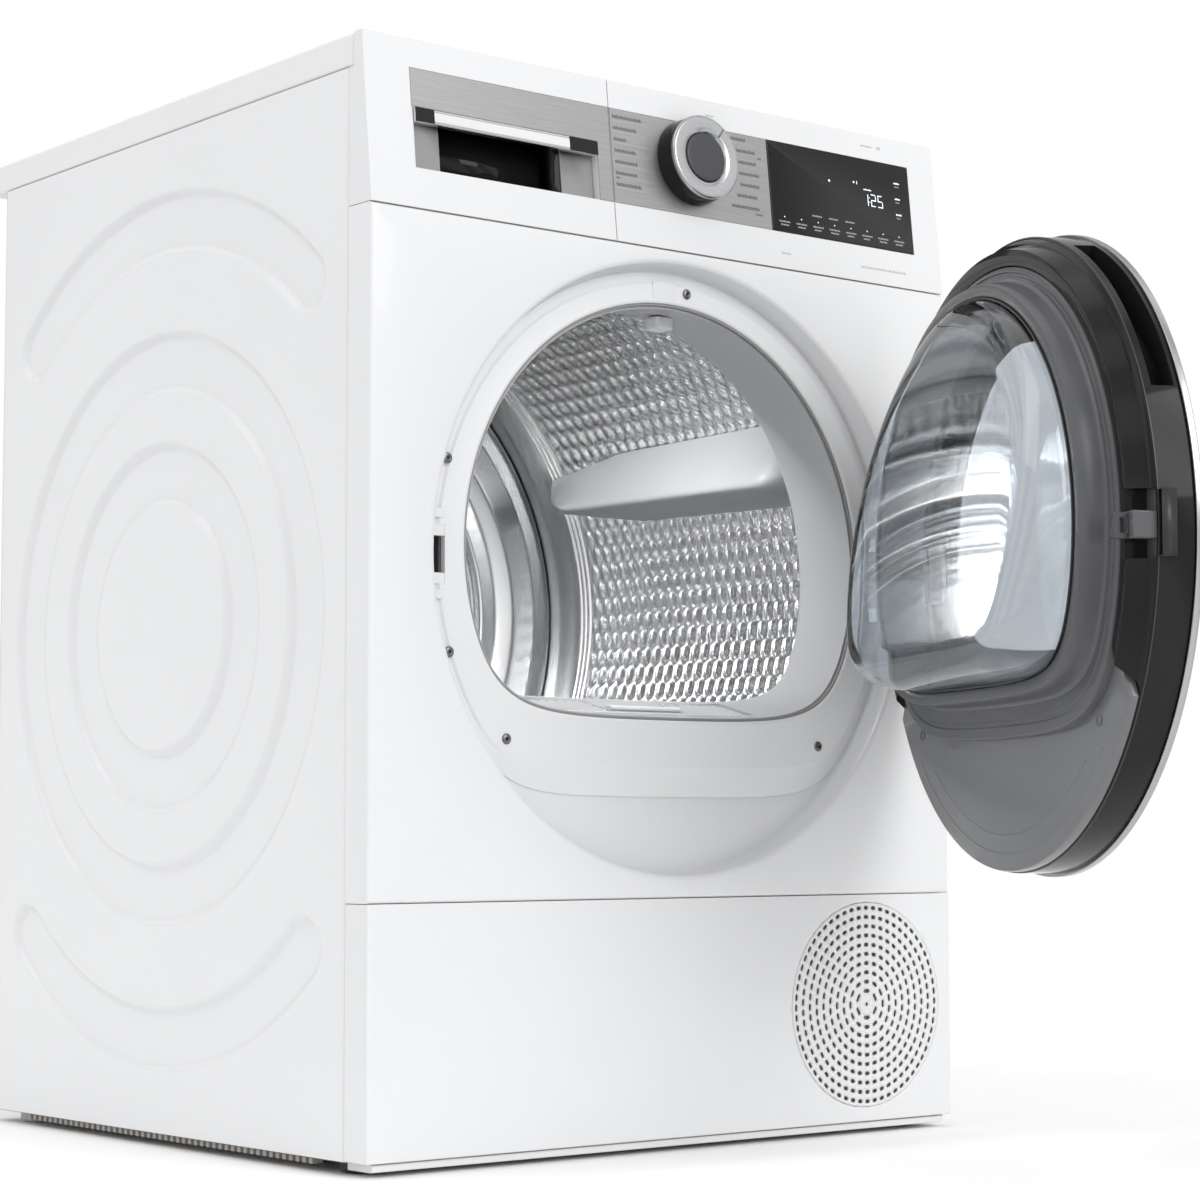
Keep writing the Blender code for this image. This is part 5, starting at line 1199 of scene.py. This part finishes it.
def bowl_end(scale, inset=0.0):
    """A ring on the bowl's flat end, drawn in towards its middle."""
    middle = Vector((DISH.x, 500))
    ring = []
    for x, _, z in bowl_ring(BOWL_CORNER, 1.0, inset):
        spot = middle + (Vector((x, z)) - middle) * scale
        ring.append((spot.x, BOWL_RIM + (BOWL_DEEP - inset) * bowl_lean(spot.y), spot.y))
    return ring


def cup(outer_rings, inner_rings):
    """Two skins of a vessel: each is closed at its deep end, and they meet at the rim."""
    points, faces = loft(outer_rings + inner_rings)
    count = len(outer_rings[0])
    seam = (len(outer_rings) - 1) * count
    faces = [f for f in faces if not (min(f) >= seam and max(f) < seam + 2 * count
                                      and min(f) < seam + count <= max(f))]
    return points, faces + [tuple(range(seam, seam + count)),
                            tuple(range(seam + count, seam + 2 * count))]


curve = [(0, 0)] + [(BOWL_CORNER * (1 - math.cos(t)), math.sin(t) ** 0.82)
                    for t in [math.pi / 2 * k / 18 for k in range(1, 19)]]
scales = (0.85, 0.6, 0.3, 0.05)
outside = dees([(191.7, 465, 347.3, -10.6), (191.7, 465, 347.3, -7), (182.5, 465, 356.5, -6.9),
                (182.5, 465, 356.5, 10), (182.5, 465, 356.5, 26)], soft=BOWL_SOFT)
outside += [bowl_ring(*place) for place in curve] + [bowl_end(scale) for scale in scales]
inside = [bowl_end(scale, 4) for scale in reversed(scales)]
inside += [bowl_ring(*place, 4) for place in reversed(curve)]
inside += dees([(178.5, 465, 360.5, depth) for depth in (26, 0, -10.6)], soft=BOWL_SOFT)
bowl = put("door_bowl_pressed", cup(outside, inside), "bowl_glass", stands_for=("door_bowl",),
           sharp=50, **DOOR)
print("bowl points:", len(bowl.data.vertices))

# %% [markdown]
# The hook of the lock stands out of the frame, in front of a black pocket. The hinge's arm,
# bracket and pin are plated steel. All four are shapes of the frame, softened.

# %% Lock and hinge
soften("latch_hook", "dark_grey_plastic", "door", segments=3)
put("hook_pocket", open_box(*(corners(-241.8, -221, 434, 480, depth) for depth in (-3.6, -14))),
    "black_plastic", **DOOR, wall=0.6)
put("hook_block", block((-236, -222), (-3.0, 15.5), (446, 465)), "door_grey_plastic", **DOOR,
    bevel=1, segments=3)
for node, body in (("hinge_arm", "door"), ("hinge_bracket", "cabinet"), ("hinge_pin", "cabinet")):
    soften(node, "machined_steel", body, width=0.5, slot="galvanised_steel")
print("lock and hinge finished")

# %% [markdown]
# ## Plinth and air grille
# The plinth is a moulded panel with a round grille for the cooling air. The grille is a plate
# with hundreds of short slots in rings, six more in each ring than in the last. The plate and
# the slots are outlines that Blender fills in one go, and a Solidify modifier gives it depth.

# %% Plinth panel and slotted grille
soften("plinth_panel", "white_plastic", width=1.6, segments=3)
GRILLE = Vector((201, 105.5))
GRILLE_RADIUS, SLOT_RINGS, SLOT_PITCH, SLOT_WIDE, SLOT_SHARE = 83.6, 10, 7.6, 3.3, 0.52


def slot_outline(radius, middle, sweep, steps=4):
    """A short curved slot with round ends."""
    half, inner = sweep / 2, SLOT_WIDE / 2
    bend = [math.pi * k / 4 for k in range(1, 4)]
    line = [(radius + inner, middle - half + sweep * k / steps) for k in range(steps + 1)]
    line += [(radius + inner * math.cos(t), middle + half + inner * math.sin(t) / radius)
             for t in bend]
    line += [(radius - inner, middle - half + sweep * k / steps) for k in range(steps, -1, -1)]
    line += [(radius - inner * math.cos(t), middle - half - inner * math.sin(t) / radius)
             for t in bend]
    return [polar(GRILLE, r, a) for r, a in line]


outlines = [[polar(GRILLE, radius, a) for a in angles_of(count)]
            for radius, count in ((GRILLE_RADIUS, 192), (1.7, 16))]
for ring in range(1, SLOT_RINGS + 1):
    radius, many = 3.4 + SLOT_PITCH * ring, 6 * ring
    sweep = math.tau / many * SLOT_SHARE - SLOT_WIDE * 0.5 / radius
    outlines += [slot_outline(radius, math.tau * (k + 0.5 * (ring % 2)) / many, sweep)
                 for k in range(many)]
bm = bmesh.new()
for outline in outlines:
    made = [bm.verts.new((x * MM, back(0.05), z * MM)) for x, z in outline]
    for k in range(len(made)):
        bm.edges.new((made[k - 1], made[k]))
bmesh.ops.triangle_fill(bm, edges=bm.edges, use_beauty=True, normal=(0, -1, 0))
for face in bm.faces:
    if face.normal.y > 0:
        face.normal_flip()
put_bmesh("vent_grille_slotted", bm, "white_plastic", stands_for=("vent_grille",), wall=2)
put("grille_screen", spin([(0, 3.6), (82, 3.6), (82, 4.4), (0, 4.4)], GRILLE, steps=96),
    "pocket_grey", slot="dark_grey_plastic")
print("grille slots:", len(outlines) - 1)

# %% [markdown]
# ## Base, feet and the rest of the cabinet
# The base tray shows under the side sheets as a grey comb of ribs, and a pale lip closes the gap
# under the plinth. The front feet are black rubber and the rear ones pale, as their job of gliding
# or gripping asks.

# %% Base tray, comb, lip and feet
soften("base_tray", "tray_grey_plastic", width=1)
ribs = [block(x, (depth, depth + 4.6), (5, 9.2)) for depth in range(72, 510, 9)
        for x in ((-297.4, -288), (288, 297.4))]
put("tray_comb", together(ribs), "tray_grey_plastic")
lip_line = filleted([(3.2, 3.6), (34, 3.6), (34, 9.4), (3.2, 9.4)], 1.5, closed=True)
put("plinth_lip", prism(lip_line, -292, 292, "X"), "white_plastic")
for end, look, slot in (("front", "rubber", None), ("rear", "tunnel_white", "white_plastic")):
    for side in ("left", "right"):
        soften(f"foot_{end}_{side}", look, slot=slot)
print("comb ribs:", len(ribs))

# %% [markdown]
# The rear is galvanised sheet: a back panel with a large hole, and a duct cover folded from one
# blank. Beads are pressed into the cover to stiffen it, and screws hold both sheets along their
# edges.

# %% Rear sheets
soften("back_panel", "galvanised_steel", width=0.3)
soften("rear_duct_cover", "galvanised_steel", width=3, segments=4)
COVER_BACK, PANEL_BACK = span("rear_duct_cover")[1][1], 571.6
BEAD_HALF, BEAD_TALL = 3.5, 1.6


def bead(*path):
    """A raised rib along a line of (x, z) points on the duct cover."""
    parts = []
    for start, end in zip(path, path[1:]):
        along = Vector(end) - Vector(start)
        side = Vector((-along.y, along.x)).normalized() * BEAD_HALF
        rings = [[(x + side.x * u, COVER_BACK - 0.4 + BEAD_TALL * v, z + side.y * u)
                  for u, v in ((-1, 0), (-0.6, 0.7), (0, 1), (0.6, 0.7), (1, 0))]
                 for x, z in (start, end)]
        parts.append(loft(rings, closed=False, ends=True))
    return parts


beads = bead((-170, 110), (-170, 590), (-118, 650), (158, 650), (210, 590), (210, 110), (-170, 110))
beads += bead((-120, 200), (160, 200)) + bead((-120, 240), (160, 240))
put("duct_cover_beads", together(beads), "galvanised_steel")
rings = [[(radius + w, COVER_BACK - 0.3 + 1.5 * math.cos(w * math.pi / 8))
          for w in (-4, -2.6, -1.3, 0, 1.3, 2.6, 4)] for radius in (60, 92)]
put("duct_cover_rings", together(spin(ring, (20, 440), steps=96) for ring in rings),
    "galvanised_steel")
spots = [(x, z) for z in (75, 330, 590) for x in (-207, 247)] + [(20, 682), (-110, 66), (150, 66)]
spots = [(x, COVER_BACK, z) for x, z in spots]
spots += [(x, PANEL_BACK, z) for x in (-288, 288) for z in (40, 240, 440, 640, 790)]
head = [(0, 1), (1.4, 1), (1.7, 1.9), (4.4, 1.2), (5, -0.4), (0, -0.4)]
put("rear_screws", together(spin([(r, depth + d) for r, d in head], (x, z), steps=20)
                            for x, depth, z in spots), "machined_steel", slot="galvanised_steel")
put("cord_inlet", prism(rounded_box((-262, 96), (-228, 132), 4), 571, 577), "black_plastic",
    bevel=1.2)
print("rear screws:", len(spots))

# %% [markdown]
# ## Parts that stay as the frame made them
# Inside the cabinet the frame's own shapes are right. They only need their finishes: finned
# coils, a green circuit board, rubber belt and rollers, plated shafts. Each gets its material
# here, and its place isn't touched.

# %% Finishes for the inner parts
INNER = {
    "galvanised_steel": ("rear_bulkhead", "front_crossbar", "idler_arm"),
    "machined_steel": ("motor_shaft", "motor"),
    "dark_grey_plastic": ("air_duct", "process_fan", "cooling_fan_frame", "cooling_fan",
                          "condensate_pump", "idler_pulley"),
    "aluminium_fins": ("evaporator", "condenser"),
    "gloss_black": ("compressor",),
    "circuit_board": ("control_board",),
    "rubber": ("drum_belt", "support_roller_left", "support_roller_right"),
    "white_plastic": ("water_container", "container_housing"),
}
for look, nodes in INNER.items():
    for node in nodes:
        mesh = frame["nodes"][node].data
        mesh.materials.clear()
        mesh.materials.append(LOOKS[look])
print("still plain:", [n for n, o in frame["nodes"].items()
                       if not o.hide_render and o.data.materials[0] not in LOOKS.values()])

# %% [markdown]
# ## Studio
# The dryer stands on a pale floor in a white room. The floor fades out into the white of the
# room, so that no horizon shows, and keeps the soft contact shadow. The room is white to the
# camera and through glass. Where it lights the object and shows in metal it is a little greyer,
# with soft bands, which gives steel and gloss something to reflect.

# %% Floor and room
ROOM_LIGHT = 1.15
FLOOR_RADIUS, FLOOR_LEVEL = 6, -0.0005


def make_floor():
    bm = bmesh.new()
    bm.faces.new([bm.verts.new((*polar((0, 0), FLOOR_RADIUS, a), FLOOR_LEVEL))
                  for a in angles_of(64)])
    floor = object_of("studio_floor", bm)
    look = bpy.data.materials.new("studio_floor")
    look.use_nodes = True
    tree = look.node_tree
    tree.nodes.clear()
    paint = add(tree, "ShaderNodeBsdfDiffuse", {"Color": (0.97, 0.97, 0.97, 1)})
    clear = add(tree, "ShaderNodeBsdfTransparent")
    place = add(tree, "ShaderNodeTexCoord").outputs["Object"]
    length = add(tree, "ShaderNodeVectorMath", operation="LENGTH")
    tree.links.new(place, length.inputs[0])
    fade = add(tree, "ShaderNodeMapRange", {"From Min": 0.55, "From Max": 1.5,
                                            "Value": length.outputs["Value"]},
               interpolation_type="SMOOTHSTEP")
    mix = add(tree, "ShaderNodeMixShader", {"Fac": fade.outputs[0], 1: paint.outputs[0],
                                            2: clear.outputs[0]})
    add(tree, "ShaderNodeOutputMaterial", {"Surface": mix.outputs[0]})
    floor.data.materials.append(look)
    return floor


def make_room():
    room = bpy.data.worlds.new("studio")
    bpy.context.scene.world = room
    room.use_nodes = True
    tree = room.node_tree
    tree.nodes.clear()
    place = add(tree, "ShaderNodeTexCoord").outputs["Generated"]
    bands = add(tree, "ShaderNodeTexWave", {"Vector": place, "Scale": 0.75, "Distortion": 1.5},
                bands_direction="DIAGONAL")
    greys = add(tree, "ShaderNodeValToRGB", {"Fac": bands.outputs["Fac"]})
    for stop, (position, level) in zip(greys.color_ramp.elements,
                                       ((0.15, (0.50, 0.50, 0.51, 1)), (0.75, (1, 1, 1, 1)))):
        stop.position, stop.color = position, level
    white = add(tree, "ShaderNodeBackground", {"Color": (1, 1, 1, 1), "Strength": 1.0})
    soft = add(tree, "ShaderNodeBackground", {"Color": greys.outputs["Color"],
                                              "Strength": ROOM_LIGHT})
    rays = add(tree, "ShaderNodeLightPath").outputs
    seen = add(tree, "ShaderNodeMath", {0: rays["Is Camera Ray"], 1: rays["Is Transmission Ray"]},
               operation="MAXIMUM")
    mix = add(tree, "ShaderNodeMixShader", {"Fac": seen.outputs[0], 1: soft.outputs[0],
                                            2: white.outputs[0]})
    add(tree, "ShaderNodeOutputWorld", {"Surface": mix.outputs[0]})
    return room


floor = make_floor()
room = make_room()
bpy.context.scene.view_settings.view_transform = "Standard"
print("stage:", floor.name, room.name)

# %% [markdown]
# Three large lamps do the modelling: one high in front, which makes the front the brightest
# side, one from the left for the side sheet, and one behind for the rear views. A small lamp
# sits in the drum, where the real one has its light.

# %% Lamps
def lamp_at(name, place, aim, size, power):
    light = bpy.data.lights.new(name, "AREA")
    light.shape = "SQUARE"
    light.size = size
    light.energy = power
    lamp = bpy.data.objects.new(name, light)
    bpy.context.collection.objects.link(lamp)
    lamp.rotation_mode = "QUATERNION"
    lamp.location = place
    lamp.rotation_quaternion = (Vector(aim) - Vector(place)).to_track_quat("-Z", "Y")


lamp_at("key", (0.5, -4.0, 2.5), (0, -0.3, 0.45), 2.4, 63)
lamp_at("side_fill", (-2.2, 0.4, 3.0), (-0.3, 0, 0.45), 2.4, 19)
lamp_at("rear_fill", (1.5, 3.6, 2.4), (0, 0.3, 0.45), 2.4, 13)
lamp_at("drum_light", (0.0, back(120), 0.655), (0.0, back(420), 0.42), 0.16, 1.9)

# %% [markdown]
# ## Camera
# The camera stands low in front and to the left, with a long lens, so that the verticals stay
# nearly upright. Its turn is given by three angles, and the matrix is built from the three
# directions they make.

# %% Camera
YAW, PITCH, ROLL = 0.682966, 0.0803362, -0.0012159
STAND, FOCAL_LENGTH, SENSOR = (-1.4878, -2.0262, 0.2473), 86.61, 36
forward = Vector((math.sin(YAW) * math.cos(PITCH), math.cos(YAW) * math.cos(PITCH),
                  math.sin(PITCH)))
right = Vector((math.cos(YAW), -math.sin(YAW), 0))
up = right.cross(forward)
level = right * math.cos(ROLL) + up * math.sin(ROLL)
plumb = -right * math.sin(ROLL) + up * math.cos(ROLL)
lens = bpy.data.cameras.new("camera")
lens.sensor_width = SENSOR
lens.lens = FOCAL_LENGTH
camera = bpy.data.objects.new("camera", lens)
bpy.context.collection.objects.link(camera)
camera.matrix_world = (Matrix.Translation(STAND)
                       @ Matrix((level, plumb, -forward)).transposed().to_4x4())
bpy.context.scene.camera = camera
print("camera at", [round(v, 3) for v in camera.location])
